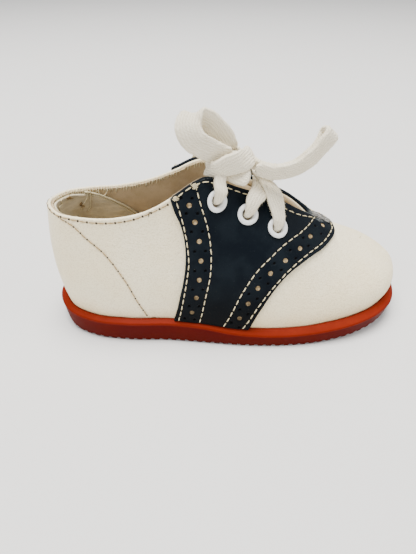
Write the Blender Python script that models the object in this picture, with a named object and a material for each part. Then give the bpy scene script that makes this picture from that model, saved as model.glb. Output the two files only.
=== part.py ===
"""Child's saddle shoe for the right foot, 130 mm long, with its bow tied.

+X points to the toe, -Y to the outer side of the foot and +Z up.
The origin is on the floor, under the middle of the shoe.
All tables and sizes are in millimetres, and turned into metres when a mesh is made.
"""
import math

import bmesh
import bpy
import numpy as np
from mathutils import Matrix

MM = 0.001

# Pieces
WALL = 1.8                 # upper, leather and lining together
GAP = 0.3                  # between pieces that rest on each other
SADDLE_LIFT = 0.50         # saddle's inner face above the upper
SADDLE_THICK = 0.95
INSOLE_THICK = 1.2
LEVELS = 10                # steps up each section of the upper
BEHIND_THROAT = 26         # sections of the upper on each side, from the heel to the throat's end
AHEAD_OF_THROAT = 15       # and from there to the toe
SADDLE_LEVELS = 10
SADDLE_BEHIND = 13         # columns of the saddle behind and ahead of the throat's end
SADDLE_AHEAD = 4

# Sole
SOLE_POINTS = 44           # on each side of its outline
TREAD_ROUND = 0.8          # rounding where the wall turns under
RIB_PITCH = 3.1            # ripples across the tread
GROOVE_WIDTH = 1.5
GROOVE_DEPTH = 1.0
GROOVE_FIRST = -61.0
GROOVE_COUNT = 40
GROOVE_REACH = 45.0        # past both edges of the sole

# Eyelets
EYELET_FLANGE = 3.4        # radius
EYELET_BARREL = 2.2
EYELET_HOLE = 1.8
EYELET_PROUD = 0.75        # flange above its seat
EYELET_SEAT = SADDLE_LIFT + SADDLE_THICK + GAP
BARREL_LENGTH = EYELET_SEAT + WALL + 0.1
HOLE_CLEARANCE = 0.3
HOLE_REACH = 5.0           # half the length of the bar that makes each hole
EYELETS = {  # share, height up the section
    "rear": (0.453, 0.84),
    "middle": (0.521, 0.80),
    "front": (0.571, 0.75),
}

# Lace
LACE_WIDTH = 5.8
LACE_THICK = 2.2
REAR_STRAND_WIDTH = 4.2    # gathered where it leaves its eyelet
LOOP_BACK_WIDTH = 7.0
LOOP_FRONT_WIDTH = 6.2
WRAP_WIDTH = 4.6
WRAP_THICK = 1.8

# Feather line, where the upper meets the sole, seen from above
FEATHER_HEEL = (-62.3, 0.0)
FEATHER_TOE = (62.0, 2.0)
FEATHER = (  # x, lateral y, medial y
    (-58.0, -11.0, 11.0),
    (-50.0, -16.0, 15.8),
    (-38.0, -18.8, 18.2),
    (-24.0, -20.0, 18.4),
    (-10.0, -22.3, 18.2),
    (4.0, -24.4, 19.4),
    (18.0, -25.2, 22.9),
    (32.0, -24.3, 25.3),
    (44.0, -21.7, 24.3),
    (52.0, -18.0, 20.6),
    (57.8, -12.8, 15.6),
    (60.9, -6.3, 9.8),
)
LEDGE = (  # share of the way from heel to toe, width of the sole's ledge (lateral, medial), wall's lean
    (0.00, 2.7, 2.7, 0.9),
    (0.20, 2.5, 2.4, 0.3),
    (0.40, 2.4, 2.0, 0.0),
    (0.60, 3.0, 2.4, 0.2),
    (0.80, 3.4, 3.0, 0.6),
    (1.00, 3.0, 3.0, 1.2),
)

# Side view of the sole
SOLE_SIDE = (  # x, tread height, outer edge height, join with the upper
    (-65.0, 3.2, 8.9, 10.0),
    (-60.0, 0.9, 8.7, 9.8),
    (-54.0, 0.0, 8.4, 9.5),
    (-40.0, 0.0, 8.2, 9.3),
    (-22.0, 0.0, 8.2, 9.3),
    (-12.0, 0.0, 7.6, 8.9),
    (-2.0, 0.0, 5.8, 7.5),
    (8.0, 0.0, 5.1, 6.9),
    (24.0, 0.0, 5.3, 7.0),
    (34.0, 0.4, 6.0, 7.7),
    (46.0, 1.6, 7.0, 8.6),
    (56.0, 3.2, 7.8, 9.3),
    (65.5, 5.4, 8.4, 9.8),
)

# Upper's top line: share of the way from heel to toe, then x, y, z
THROAT_SHARE = 0.63
OPENING_LATERAL = (
    (0.00, -62.0, 0.0, 47.0),
    (0.07, -58.6, -7.6, 46.8),
    (0.15, -51.0, -11.4, 46.4),
    (0.24, -38.5, -12.6, 46.2),
    (0.32, -27.0, -11.8, 48.6),
    (0.37, -19.5, -10.9, 52.6),
    (0.41, -13.0, -9.6, 56.4),
    (0.435, -9.3, -8.2, 57.2),
    (0.46, -5.6, -6.8, 55.2),
    (0.50, 0.2, -5.4, 52.0),
    (0.54, 7.6, -4.4, 48.8),
    (0.58, 16.4, -3.3, 44.6),
    (0.61, 24.0, -2.2, 39.8),
    (THROAT_SHARE, 30.8, 0.3, 35.6),
)
OPENING_MEDIAL = (
    (0.00, -62.0, 0.0, 47.0),
    (0.07, -58.6, 7.6, 46.6),
    (0.15, -51.0, 11.4, 46.2),
    (0.24, -38.5, 12.4, 46.4),
    (0.32, -27.0, 11.8, 48.9),
    (0.37, -19.0, 10.8, 52.2),
    (0.41, -12.0, 9.6, 55.8),
    (0.435, -8.2, 8.4, 56.8),
    (0.46, -4.6, 7.2, 55.0),
    (0.50, 1.0, 6.2, 52.2),
    (0.54, 8.4, 5.6, 49.4),
    (0.58, 17.0, 4.8, 45.6),
    (0.61, 24.4, 3.6, 41.0),
    (THROAT_SHARE, 30.8, 0.3, 35.6),
)
RIDGE = (  # share, x, y, z along the middle of the vamp
    (THROAT_SHARE, 30.8, 0.3, 35.6),
    (0.72, 36.5, 0.7, 32.6),
    (0.82, 41.8, 1.1, 29.9),
    (0.92, 46.6, 1.4, 27.6),
    (1.00, 50.0, 1.6, 25.9),
)

# Handles of each section: bulge and rise at its foot, crown and drop at its top
SECTIONS_LATERAL = (  # share, bulge, rise, crown, drop
    (0.00, 2.6, 12.0, 2.4, 12.0),
    (0.15, 2.4, 12.0, 2.2, 12.0),
    (0.24, 2.2, 12.0, 2.0, 12.0),
    (0.35, 1.4, 13.0, 2.6, 13.0),
    (0.43, 0.8, 14.0, 4.0, 12.0),
    (0.50, 0.6, 14.0, 6.2, 9.0),
    (0.58, 0.8, 12.0, 9.0, 4.5),
    (0.63, 1.0, 10.5, 11.5, 0.0),
    (0.75, 2.6, 9.5, 12.5, 0.0),
    (0.87, 4.6, 9.0, 12.5, 0.0),
    (1.00, 6.3, 8.5, 12.5, 0.0),
)
SECTIONS_MEDIAL = (
    (0.00, 2.6, 12.0, 2.4, 12.0),
    (0.15, 2.4, 12.0, 2.2, 12.0),
    (0.24, 2.4, 12.0, 2.0, 12.0),
    (0.35, 2.8, 13.0, 3.0, 13.0),
    (0.43, 3.0, 14.0, 4.4, 12.0),
    (0.50, 2.6, 14.0, 6.6, 9.0),
    (0.58, 1.6, 12.0, 9.4, 4.5),
    (0.63, 1.2, 10.5, 12.0, 0.0),
    (0.75, 2.6, 9.5, 13.0, 0.0),
    (0.87, 4.6, 9.0, 13.0, 0.0),
    (1.00, 6.3, 8.5, 12.5, 0.0),
)
LATERAL = -1
MEDIAL = 1


def smooth(knots, values, at):
    """Cubic curve through a table's rows, each row's slope taken from its two neighbours."""
    knots = np.asarray(knots, float)
    values = np.asarray(values, float)
    at = np.asarray(at, float)
    slopes = np.gradient(values, knots, axis=0)
    low = np.clip(np.searchsorted(knots, at, side="right") - 1, 0, len(knots) - 2)
    width = knots[low + 1] - knots[low]
    u = np.clip((at - knots[low]) / width, 0.0, 1.0)
    if values.ndim == 2:
        u = u[..., None]
        width = width[..., None]
    near = (2 * u ** 3 - 3 * u ** 2 + 1) * values[low] + (u ** 3 - 2 * u ** 2 + u) * width * slopes[low]
    far = (3 * u ** 2 - 2 * u ** 3) * values[low + 1] + (u ** 3 - u ** 2) * width * slopes[low + 1]
    return near + far


def side_outline(side):
    """Dense feather line of one side, from the heel's middle to the toe's, with its outward normals."""
    column = 1 if side == LATERAL else 2
    mine = [(row[0], row[column]) for row in FEATHER]
    other = [(row[0], row[3 - column]) for row in FEATHER]
    ring = other[1::-1] + [FEATHER_HEEL] + mine + [FEATHER_TOE] + other[:-3:-1]
    ring = np.array(ring)
    knots = np.concatenate([[0.0], np.cumsum(np.hypot(*np.diff(ring, axis=0).T))])
    start = knots[2]
    end = knots[-3]
    fine = smooth(knots, ring, np.linspace(start, end, 801))
    length = np.concatenate([[0.0], np.cumsum(np.hypot(*np.diff(fine, axis=0).T))])
    tangent = np.gradient(fine, length, axis=0)
    normal = np.stack([-side * tangent[:, 1], side * tangent[:, 0]], axis=1)
    return length / length[-1], fine, normal


OUTLINES = {side: side_outline(side) for side in (LATERAL, MEDIAL)}


def along_feather(side, share):
    """Point and outward normal of the feather line, seen from above, at a share of its length."""
    shares, points, normals = OUTLINES[side]
    point = np.stack([np.interp(share, shares, points[:, k]) for k in range(2)], axis=-1)
    normal = np.stack([np.interp(share, shares, normals[:, k]) for k in range(2)], axis=-1)
    return point, normal / np.linalg.norm(normal, axis=-1, keepdims=True)


def table(rows, at):
    """All columns of a table but its first, read at values of its first column."""
    rows = np.array(rows)
    return smooth(rows[:, 0], rows[:, 1:], at)


def closed_side_table(side, at):
    """Section handles of one side, carried on smoothly over the heel and the toe."""
    mine = np.array(SECTIONS_LATERAL if side == LATERAL else SECTIONS_MEDIAL)
    other = np.array(SECTIONS_MEDIAL if side == LATERAL else SECTIONS_LATERAL)
    before = other[1:2] * [-1, 1, 1, 1, 1]
    after = other[-2:-1].copy()
    after[:, 0] = 2.0 - after[:, 0]
    rows = np.concatenate([before, mine, after])
    return smooth(rows[:, 0], rows[:, 1:], at)


def top_line(side, share):
    """Collar and flap edge of one side as far as the throat, then the ridge of the vamp."""
    share = np.asarray(share, float)
    mine = np.array(OPENING_LATERAL if side == LATERAL else OPENING_MEDIAL)
    mirrored = np.array(OPENING_MEDIAL if side == LATERAL else OPENING_LATERAL)[1:2] * [-1, 1, 1, 1]
    edge = table(np.concatenate([mirrored, mine]), np.minimum(share, THROAT_SHARE))
    ridge = table(RIDGE, np.maximum(share, THROAT_SHARE))
    return np.where((share < THROAT_SHARE)[..., None], edge, ridge)


def ridge_slope(share):
    """Rise of the vamp's ridge per millimetre ahead."""
    step = 0.01
    at = np.clip(share, THROAT_SHARE + step, 1.0 - step)
    change = table(RIDGE, at + step) - table(RIDGE, at - step)
    return change[..., 2] / change[..., 0]


def upper_skin(side, share, height):
    """Outer face of the upper: at each share a cubic section from the feather line to the top line."""
    share, height = np.broadcast_arrays(np.asarray(share, float), np.asarray(height, float))
    base_xy, out = along_feather(side, share)
    join = table(SOLE_SIDE, base_xy[..., 0])[..., 2]
    bulge, rise, crown, drop = np.moveaxis(closed_side_table(side, share), -1, 0)
    base = np.concatenate([base_xy, join[..., None]], axis=-1)
    top = top_line(side, share)
    fold = np.where(share > THROAT_SHARE, ridge_slope(share), 0.0)
    foot = base + np.stack([out[..., 0] * bulge, out[..., 1] * bulge, rise], axis=-1)
    sink = fold * out[..., 0] * crown - drop
    head = top + np.stack([out[..., 0] * crown, out[..., 1] * crown, sink], axis=-1)
    u = height[..., None]
    return (1 - u) ** 3 * base + 3 * (1 - u) ** 2 * u * foot + 3 * (1 - u) * u ** 2 * head + u ** 3 * top


def skin_normal(side, share, height):
    """Outward unit normal of the upper's outer face, from differences of the surface itself."""
    step = 0.002
    share, height = np.broadcast_arrays(np.asarray(share, float), np.asarray(height, float))
    low = np.clip(share - step, 0, 1)
    high = np.clip(share + step, 0, 1)
    ahead = upper_skin(side, high, height) - upper_skin(side, low, height)
    up_low = np.clip(height - step, 0, 1)
    up_high = np.clip(height + step, 0, 1)
    up = upper_skin(side, share, up_high) - upper_skin(side, share, up_low)
    normal = np.cross(ahead, up) * -side
    return normal / np.linalg.norm(normal, axis=-1, keepdims=True)


def unit(vectors):
    """Vectors scaled to length one."""
    return vectors / np.linalg.norm(vectors, axis=-1, keepdims=True)


def material(name, colour, roughness, metallic=0.0):
    """Principled material of one colour."""
    made = bpy.data.materials.new(name)
    made.use_nodes = True
    shader = made.node_tree.nodes["Principled BSDF"]
    shader.inputs["Base Color"].default_value = (*colour, 1.0)
    shader.inputs["Roughness"].default_value = roughness
    shader.inputs["Metallic"].default_value = metallic
    made.diffuse_color = (*colour, 1.0)
    return made


def solid(name, points, faces, finish, sharp_angle=math.radians(40)):
    """Object from points in millimetres, its faces turned to point out."""
    mesh = bpy.data.meshes.new(name)
    mesh.from_pydata((np.asarray(points) * MM).tolist(), [], faces)
    shape = bmesh.new()
    shape.from_mesh(mesh)
    bmesh.ops.recalc_face_normals(shape, faces=shape.faces)
    shape.to_mesh(mesh)
    shape.free()
    mesh.materials.append(finish)
    mesh.shade_smooth()
    mesh.set_sharp_from_angle(angle=sharp_angle)
    placed = bpy.data.objects.new(name, mesh)
    bpy.context.scene.collection.objects.link(placed)
    return placed


def grid_faces(index):
    """Quads between neighbouring rows and columns of an array of point numbers, triangles where two meet."""
    faces = []
    for low, high in zip(index[:-1], index[1:]):
        for k in range(len(low) - 1):
            corners = list(dict.fromkeys([int(low[k]), int(low[k + 1]), int(high[k + 1]), int(high[k])]))
            if len(corners) >= 3:
                faces.append(corners)
    return faces


def boundary(faces):
    """Directed edges that only one face uses."""
    edges = {}
    for face in faces:
        for start, end in zip(face, face[1:] + face[:1]):
            edges[(start, end)] = True
    return [edge for edge in edges if edge[::-1] not in edges]


def thicken(points, normals, faces, inner, outer):
    """Closed shell between two offsets of an open surface along its normals."""
    count = len(points)
    shell = np.concatenate([points + normals * outer, points + normals * inner])
    back = [[corner + count for corner in reversed(face)] for face in faces]
    rim = [[end, start, start + count, end + count] for start, end in boundary(faces)]
    return shell, faces + back + rim


def grid_normals(points):
    """Unit normals of a grid of points, from the differences of its rows and columns."""
    return unit(np.cross(np.gradient(points, axis=0), np.gradient(points, axis=1)))


def ring_of_sides(shares):
    """Side and share of every section round the foot: outer side to the toe, inner side back to the heel."""
    sides = [LATERAL] * len(shares) + [MEDIAL] * (len(shares) - 2)
    return sides, np.concatenate([shares, shares[-2:0:-1]])


def skin_grid(sides, shares, heights):
    """Points and normals of the upper's outer face for whole rows of sections."""
    points = np.stack([upper_skin(side, share, heights) for side, share in zip(sides, shares)])
    normals = np.stack([skin_normal(side, share, heights) for side, share in zip(sides, shares)])
    return points, normals


def upper(finish):
    """Hollow upper: collar and throat open above, and open below, with one wall all round."""
    behind = np.linspace(0, THROAT_SHARE, BEHIND_THROAT)
    ahead = np.linspace(THROAT_SHARE, 1, AHEAD_OF_THROAT)[1:]
    sides, shares = ring_of_sides(np.concatenate([behind, ahead]))
    heights = np.linspace(0, 1, LEVELS + 1)
    points, normals = skin_grid(sides, shares, heights)
    count = len(shares)
    index = np.arange(count * (LEVELS + 1)).reshape(count, LEVELS + 1)
    for row in range(count // 2 + 1, count):
        if shares[row] >= THROAT_SHARE:
            index[row, LEVELS] = index[count - row, LEVELS]
    faces = grid_faces(np.concatenate([index, index[:1]]))
    shell, faces = thicken(points.reshape(-1, 3), normals.reshape(-1, 3), faces, -WALL, 0.0)
    for row, (side, share) in enumerate(zip(sides, shares)):
        base_xy, out = along_feather(side, share)
        low = len(shell) // 2 + index[row, 0]
        shell[low, :2] = base_xy - out * WALL
        shell[low, 2] = shell[index[row, 0], 2]
    used = sorted({corner for face in faces for corner in face})
    renumber = {old: new for new, old in enumerate(used)}
    return solid("upper", shell[used], [[renumber[c] for c in face] for face in faces], finish)


SADDLE_EDGES = (  # height up the section, share at the rear edge, share at the front edge
    (0.00, 0.338, 0.517),
    (0.12, 0.348, 0.534),
    (0.25, 0.359, 0.558),
    (0.38, 0.372, 0.586),
    (0.50, 0.381, 0.612),
    (0.62, 0.384, 0.641),
    (0.75, 0.380, 0.680),
    (0.88, 0.369, 0.718),
    (1.00, 0.361, 0.727),
)


def saddle(finish):
    """Saddle laid over the upper: a wing down each side, joined over the vamp in front of the throat."""
    heights = np.linspace(0, 1, SADDLE_LEVELS + 1)
    rear, front = table(SADDLE_EDGES, heights).T
    neck = (THROAT_SHARE - rear[-1]) / (front[-1] - rear[-1])
    across = np.concatenate([np.linspace(0, neck, SADDLE_BEHIND), np.linspace(neck, 1, SADDLE_AHEAD)[1:]])
    points = []
    normals = []
    for side in (LATERAL, MEDIAL):
        shares = rear + (front - rear) * across[:, None]
        points.append(upper_skin(side, shares, heights))
        normals.append(skin_normal(side, shares, heights))
    size = len(across) * len(heights)
    index = np.arange(2 * size).reshape(2, len(across), len(heights))
    at_throat = SADDLE_BEHIND - 1
    index[1, at_throat:, -1] = index[0, at_throat:, -1]
    # each side's quads start where their fold lies along the shorter diagonal
    faces = grid_faces(index[0]) + [[a, d, c, b] for a, b, c, d in grid_faces(index[1])]
    points = np.concatenate([p.reshape(-1, 3) for p in points])
    normals = np.concatenate([n.reshape(-1, 3) for n in normals])
    shell, faces = thicken(points, normals, faces, SADDLE_LIFT, SADDLE_LIFT + SADDLE_THICK)
    used = sorted({corner for face in faces for corner in face})
    renumber = {old: new for new, old in enumerate(used)}
    return solid("saddle", shell[used], [[renumber[c] for c in face] for face in faces], finish)


def sole_side(x):
    """Heights of tread, edge and join at x, the tread flat wherever it would dip below the floor."""
    heights = table(SOLE_SIDE, x)
    heights[..., 0] = np.maximum(heights[..., 0], 0.0)
    return heights


def outline_ring(shares, inset, height_column, raise_by):
    """Closed loop round the feather line, moved in or out, at a height read from the sole's side view."""
    sides, shares = ring_of_sides(shares)
    ring = []
    for side, share in zip(sides, shares):
        point, out = along_feather(side, share)
        lateral, medial, lean = table(LEDGE, share)
        ledge = lateral if side == LATERAL else medial
        xy = point + out * inset(ledge, lean)
        height = sole_side(xy[0])[height_column] + raise_by
        ring.append((xy[0], xy[1], height))
    return np.array(ring)


def capped_loft(name, rings, finish):
    """Closed body through a stack of like loops, with each end closed by strips across from side to side."""
    count = len(rings[0])
    index = np.arange(count * len(rings)).reshape(len(rings), count)
    faces = grid_faces(np.column_stack([index, index[:, :1]]))
    half = count // 2
    for ring in (index[0], index[-1]):
        across = np.array([[ring[k], ring[-k % count]] for k in range(half + 1)])
        faces += grid_faces(across)
    return solid(name, np.concatenate(rings), faces, finish)


def sole(finish):
    """One-piece rubber sole: sloped ledge round the upper, near-upright wall, and a rippled tread."""
    shares = np.linspace(0, 1, SOLE_POINTS)
    tread, edge, join = 0, 1, 2
    rings = [
        outline_ring(shares, lambda ledge, lean: 0.0, join, -GAP),
        outline_ring(shares, lambda ledge, lean: ledge, edge, 0.0),
        outline_ring(shares, lambda ledge, lean: ledge - lean, tread, TREAD_ROUND),
        outline_ring(shares, lambda ledge, lean: ledge - lean - TREAD_ROUND, tread, 0.0),
    ]
    return capped_loft("outsole", rings, finish)


def tread_grooves():
    """Cutter: a row of bars across the tread, each following the tread's height and slope."""
    profile = np.array([(-0.5, -2.0), (-0.5, 0.45), (-0.25, 1.0), (0.25, 1.0), (0.5, 0.45), (0.5, -2.0)])
    points = []
    faces = []
    for k in range(GROOVE_COUNT):
        x = GROOVE_FIRST + RIB_PITCH * k
        height = sole_side(x)[0]
        slope = sole_side(x + 0.5)[0] - sole_side(x - 0.5)[0]
        along = profile[:, 0] * GROOVE_WIDTH
        deep = profile[:, 1] * GROOVE_DEPTH
        start = len(points)
        for y in (-GROOVE_REACH, GROOVE_REACH):
            points += [(x + a - d * slope, y, height + a * slope + d) for a, d in zip(along, deep)]
        near = list(range(start, start + len(profile)))
        far = [corner + len(profile) for corner in near]
        faces += [near, far[::-1]]
        for a, b, c, d in zip(near, near[1:] + near[:1], far[1:] + far[:1], far):
            faces.append([a, b, c, d])
    cutter = solid("tread_grooves", points, faces, bpy.data.materials["rubber"])
    cutter.hide_render = True
    cutter.display_type = "WIRE"
    return cutter


def insole(finish):
    """Thin board on the sole, inside the upper's foot."""
    shares = np.linspace(0, 1, 30)
    join = 2
    room = WALL + 2 * GAP

    def inside(ledge, lean):
        return -room

    rings = [outline_ring(shares, inside, join, 0.0), outline_ring(shares, inside, join, INSOLE_THICK)]
    return capped_loft("insole", rings, finish)


TONGUE_THICK = 1.4
TONGUE = (  # share along the throat, height where the tongue's edge lies, gap under the upper's inner face
    (0.455, 0.84, 0.5),
    (0.50, 0.82, 0.5),
    (0.55, 0.80, 0.6),
    (0.60, 0.78, 0.9),
    (0.65, 0.79, 1.4),
)


def tongue(finish):
    """Curved tongue under the flaps, from below the vamp up to the rear eyelets."""
    stations = np.linspace(TONGUE[0][0], TONGUE[-1][0], 10)
    rows = []
    for share in stations:
        edge, clear = table(TONGUE, share)
        heights = np.linspace(edge, 0.95, 3)
        left, right = (
            upper_skin(side, share, heights) - skin_normal(side, share, heights) * (WALL + clear)
            for side in (LATERAL, MEDIAL)
        )
        rail = np.concatenate([left, right[::-1]])
        knots = np.concatenate([[0.0], np.cumsum(np.linalg.norm(np.diff(rail, axis=0), axis=1))])
        rows.append(smooth(knots, rail, np.linspace(0, knots[-1], 9)))
    points = np.array(rows)
    normals = grid_normals(points)
    if normals[5, 4, 2] < 0:
        normals = -normals
    index = np.arange(points.shape[0] * points.shape[1]).reshape(points.shape[:2])
    shell, faces = thicken(points.reshape(-1, 3), normals.reshape(-1, 3), grid_faces(index), -TONGUE_THICK, 0.0)
    return solid("tongue", shell, faces, finish)


def eyelet_mesh(finish):
    """Turned eyelet: rolled flange on the outside and a barrel through the leather, standing on its axis."""
    profile = [
        (EYELET_HOLE, -BARREL_LENGTH),
        (EYELET_BARREL, -BARREL_LENGTH),
        (EYELET_BARREL, 0.0),
        (EYELET_FLANGE, 0.0),
        (EYELET_FLANGE, 0.35),
        (EYELET_FLANGE - 0.7, EYELET_PROUD),
        (EYELET_HOLE, 0.2),
    ]
    turns = 14
    angles = np.arange(turns) * 2 * math.pi / turns
    rings = np.array([[(r * math.cos(a), r * math.sin(a), z) for r, z in profile] for a in angles])
    index = np.arange(turns * len(profile)).reshape(turns, len(profile))
    index = np.column_stack([index, index[:, :1]])
    faces = grid_faces(np.concatenate([index, index[:1]]))
    first = solid("eyelet_pattern", rings.reshape(-1, 3), faces, finish)
    mesh = first.data
    bpy.data.objects.remove(first)
    return mesh


def frame_on_skin(side, share, height):
    """Point on the upper, and the turn that stands an axis along its normal."""
    point = upper_skin(side, share, height)
    normal = skin_normal(side, share, height)
    ahead = unit(np.cross((0.0, 1.0, 0.0), normal))
    across = np.cross(normal, ahead)
    return point, np.column_stack([ahead, across, normal])


def placed_eyelets(mesh):
    """Three eyelets in each flap, standing on the saddle."""
    made = []
    for side, side_name in ((LATERAL, "lateral"), (MEDIAL, "medial")):
        for row, (share, height) in EYELETS.items():
            point, turn = frame_on_skin(side, share, height)
            placed = bpy.data.objects.new(f"eyelet_{side_name}_{row}", mesh)
            placed.location = ((point + turn[:, 2] * EYELET_SEAT) * MM).tolist()
            placed.rotation_euler = Matrix(turn.tolist()).to_euler()
            bpy.context.scene.collection.objects.link(placed)
            made.append(placed)
    return made


def eyelet_holes():
    """Cutter: a round bar through each flap where an eyelet goes."""
    turns = 16
    angles = np.arange(turns) * 2 * math.pi / turns
    radius = EYELET_BARREL + HOLE_CLEARANCE
    points = []
    faces = []
    for side in (LATERAL, MEDIAL):
        for share, height in EYELETS.values():
            centre, turn = frame_on_skin(side, share, height)
            circle = np.stack([np.cos(angles) * radius, np.sin(angles) * radius, np.zeros(turns)], axis=1)
            low = list(range(len(points), len(points) + turns))
            high = [corner + turns for corner in low]
            for lift in (-HOLE_REACH, HOLE_REACH):
                points += [tuple(row) for row in centre + (circle + [0, 0, lift]) @ turn.T]
            faces += [low[::-1], high]
            for a, b, c, d in zip(low, low[1:] + low[:1], high[1:] + high[:1], high):
                faces.append([a, b, c, d])
    cutter = solid("eyelet_holes", points, faces, bpy.data.materials["enamel"])
    cutter.hide_render = True
    cutter.display_type = "WIRE"
    return cutter


def cut(target, cutter, operation="DIFFERENCE"):
    """Boolean of one object by another, left live on the target."""
    step = target.modifiers.new(cutter.name, "BOOLEAN")
    step.operation = operation
    step.object = cutter
    return target


def over_saddle(side, share, height, lift):
    """Point a given height above the saddle's outer face."""
    lift = lift + SADDLE_LIFT + SADDLE_THICK
    return upper_skin(side, share, height) + skin_normal(side, share, height) * lift


def ribbon(name, route, facing, finish, width=LACE_WIDTH, thick=LACE_THICK, sections=16, sides=8):
    """Flat soft cord along a smooth curve through the route, its width laid along the facing directions."""
    route = np.array(route, float)
    facing = np.array(facing, float)
    knots = np.concatenate([[0.0], np.cumsum(np.linalg.norm(np.diff(route, axis=0), axis=1))])
    at = np.linspace(0, knots[-1], sections)
    centre = smooth(knots, route, at)
    if len(facing) == 1:
        facing = np.repeat(facing, len(route), axis=0)
    tangent = unit(np.gradient(centre, axis=0))
    wide = smooth(knots, facing, at)
    wide = unit(wide - tangent * np.sum(wide * tangent, axis=1, keepdims=True))
    flat = np.cross(tangent, wide)
    angles = (np.arange(sides) + 0.5) * 2 * math.pi / sides
    out = np.sign(np.cos(angles)) * np.abs(np.cos(angles)) ** 0.7 * width / 2
    up = np.sign(np.sin(angles)) * np.abs(np.sin(angles)) ** 0.7 * thick / 2
    points = centre[:, None] + wide[:, None] * out[:, None] + flat[:, None] * up[:, None]
    index = np.arange(sections * sides).reshape(sections, sides)
    faces = grid_faces(np.column_stack([index, index[:, :1]]))
    faces += [index[0].tolist(), index[-1].tolist()]
    return solid(name, points.reshape(-1, 3), faces, finish)


# Knot and bow, as hand-laid routes
KNOT_TILT = math.radians(-16)      # its long axis rises toward the toe
LOOP_BACK = (  # up and back from the knot, over, and down behind
    (-5.0, -5.4, 63.4),
    (-9.2, -7.0, 66.0),
    (-13.2, -8.0, 69.6),
    (-14.8, -6.6, 73.6),
    (-13.4, -3.4, 76.0),
    (-10.4, -0.6, 74.4),
    (-7.2, 0.8, 70.2),
    (-4.0, 1.0, 66.2),
    (-2.0, 0.4, 64.2),
)
LOOP_BACK_FACING = ((1.0, 0.0, 0.6), (1.0, 0.0, 0.6), (1.0, 0.0, 0.35), (1.0, 0.1, 0.15), (1.0, 0.2, 0.0),
                    (1.0, 0.2, 0.1), (1.0, 0.0, 0.4), (1.0, 0.0, 0.5), (1.0, 0.0, 0.5))
LOOP_FRONT = (  # ahead from the knot, up to its tip, and back close behind itself
    (6.4, -6.6, 59.4),
    (10.8, -7.8, 58.0),
    (16.0, -8.4, 58.4),
    (21.6, -8.2, 61.0),
    (26.0, -7.4, 65.2),
    (29.2, -5.8, 69.0),
    (29.2, -3.4, 68.6),
    (26.0, -3.6, 63.4),
    (21.2, -4.0, 59.0),
    (15.8, -4.0, 57.0),
    (10.6, -3.4, 57.4),
    (6.0, -2.4, 59.2),
)
LOOP_FRONT_FACING = ((0.3, -0.5, 1.0), (0.1, -0.5, 1.0), (-0.2, -0.5, 1.0), (-0.5, -0.5, 1.0), (-0.7, -0.5, 0.9),
                     (-0.8, -0.4, 0.8), (-0.8, -0.4, 0.8), (-0.6, -0.5, 1.0), (-0.4, -0.5, 1.0),
                     (-0.1, -0.5, 1.0), (0.1, -0.5, 1.0), (0.3, -0.5, 1.0))

KNOT_CORE = (-1.9, -2.4, 61.1)
KNOT_HALF = (4.4, 2.8, 2.3)
WRAP_AND_STUB = (  # over the knot's front from its upper right, round its lower left and out below
    (4.6, -0.2, 62.6),
    (4.8, -4.4, 64.0),
    (1.8, -7.8, 62.8),
    (-3.0, -8.6, 61.0),
    (-7.0, -8.2, 59.4),
    (-9.4, -5.0, 58.9),
    (-6.6, -3.2, 57.3),
    (-2.8, -4.6, 57.0),
    (1.0, -7.4, 56.9),
    (4.8, -9.2, 56.7),
)
WRAP_FACING = ((-0.3, 0.0, 1.0), (-0.3, 0.5, 1.0), (-0.4, -0.1, 1.0), (-0.35, -0.1, 1.0), (-0.4, -0.2, 1.0),
               (0.2, 1.0, 0.2), (0.1, 1.0, 0.0), (0.4, 1.0, 0.2), (0.4, 0.8, 0.8), (0.4, 0.7, 0.9))
END_FAR = (  # share, height, lift above the saddle: down the inner side of the foot
    (0.474, 1.00, 5.2),
    (0.476, 0.91, 5.6),
    (0.478, 0.82, 5.2),
    (0.480, 0.73, 2.9),
    (0.483, 0.62, 1.6),
    (0.487, 0.50, 1.5),
    (0.492, 0.38, 1.5),
)
END_FAR_ROOT = (1.4, 2.2, 61.0)
OVER_EYELET = GAP + EYELET_PROUD + GAP + LACE_THICK / 2
ALONG_THROAT = (1.0, 0.0, -0.5)
CROSSING = (9.8, 0.4, 50.2)        # level of the flaps' edges where the two strands cross
OVER_STRAND = 3.0                  # rise of each strand above the flaps' edges
UNDER_STRAND = 1.5
REAR_ENDS = (  # side, its name, then height and lift where the rear strand stops at the knot
    (LATERAL, "lateral", 0.97, 1.5),
    (MEDIAL, "medial", 1.00, 2.0),
)


def knot(finish):
    """Core of the knot: a tilted rounded lump that the wrap goes round."""
    rows = np.linspace(-math.pi / 2, math.pi / 2, 8)[1:-1]
    turns = 14
    angles = np.arange(turns) * 2 * math.pi / turns
    points = [(-KNOT_HALF[0], 0.0, 0.0)]
    for row in rows:
        radius = math.cos(row) ** 0.7
        x = KNOT_HALF[0] * math.sin(row)
        points += [(x, KNOT_HALF[1] * radius * math.cos(a), KNOT_HALF[2] * radius * math.sin(a)) for a in angles]
    points.append((KNOT_HALF[0], 0.0, 0.0))
    last = len(points) - 1
    index = np.arange(1, last).reshape(len(rows), turns)
    index = np.column_stack([index, index[:, :1]])
    index = np.concatenate([np.zeros((1, turns + 1), int), index, np.full((1, turns + 1), last)])
    turn = np.array(Matrix.Rotation(KNOT_TILT, 3, "Y"))
    return solid("lace_knot", np.array(points) @ turn.T + KNOT_CORE, grid_faces(index), finish)


def rear_strands(finish):
    """Lace from each rear eyelet, up over the flap's edge to the knot."""
    share, height = EYELETS["rear"]
    for side, side_name, end_height, end_lift in REAR_ENDS:
        route = [
            over_saddle(side, share, height, OVER_EYELET + 0.3),
            over_saddle(side, share, 0.90, OVER_EYELET),
            over_saddle(side, share, end_height, end_lift),
        ]
        ribbon(f"lace_rear_{side_name}", route, (ALONG_THROAT,), finish, width=REAR_STRAND_WIDTH, sections=6)


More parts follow.
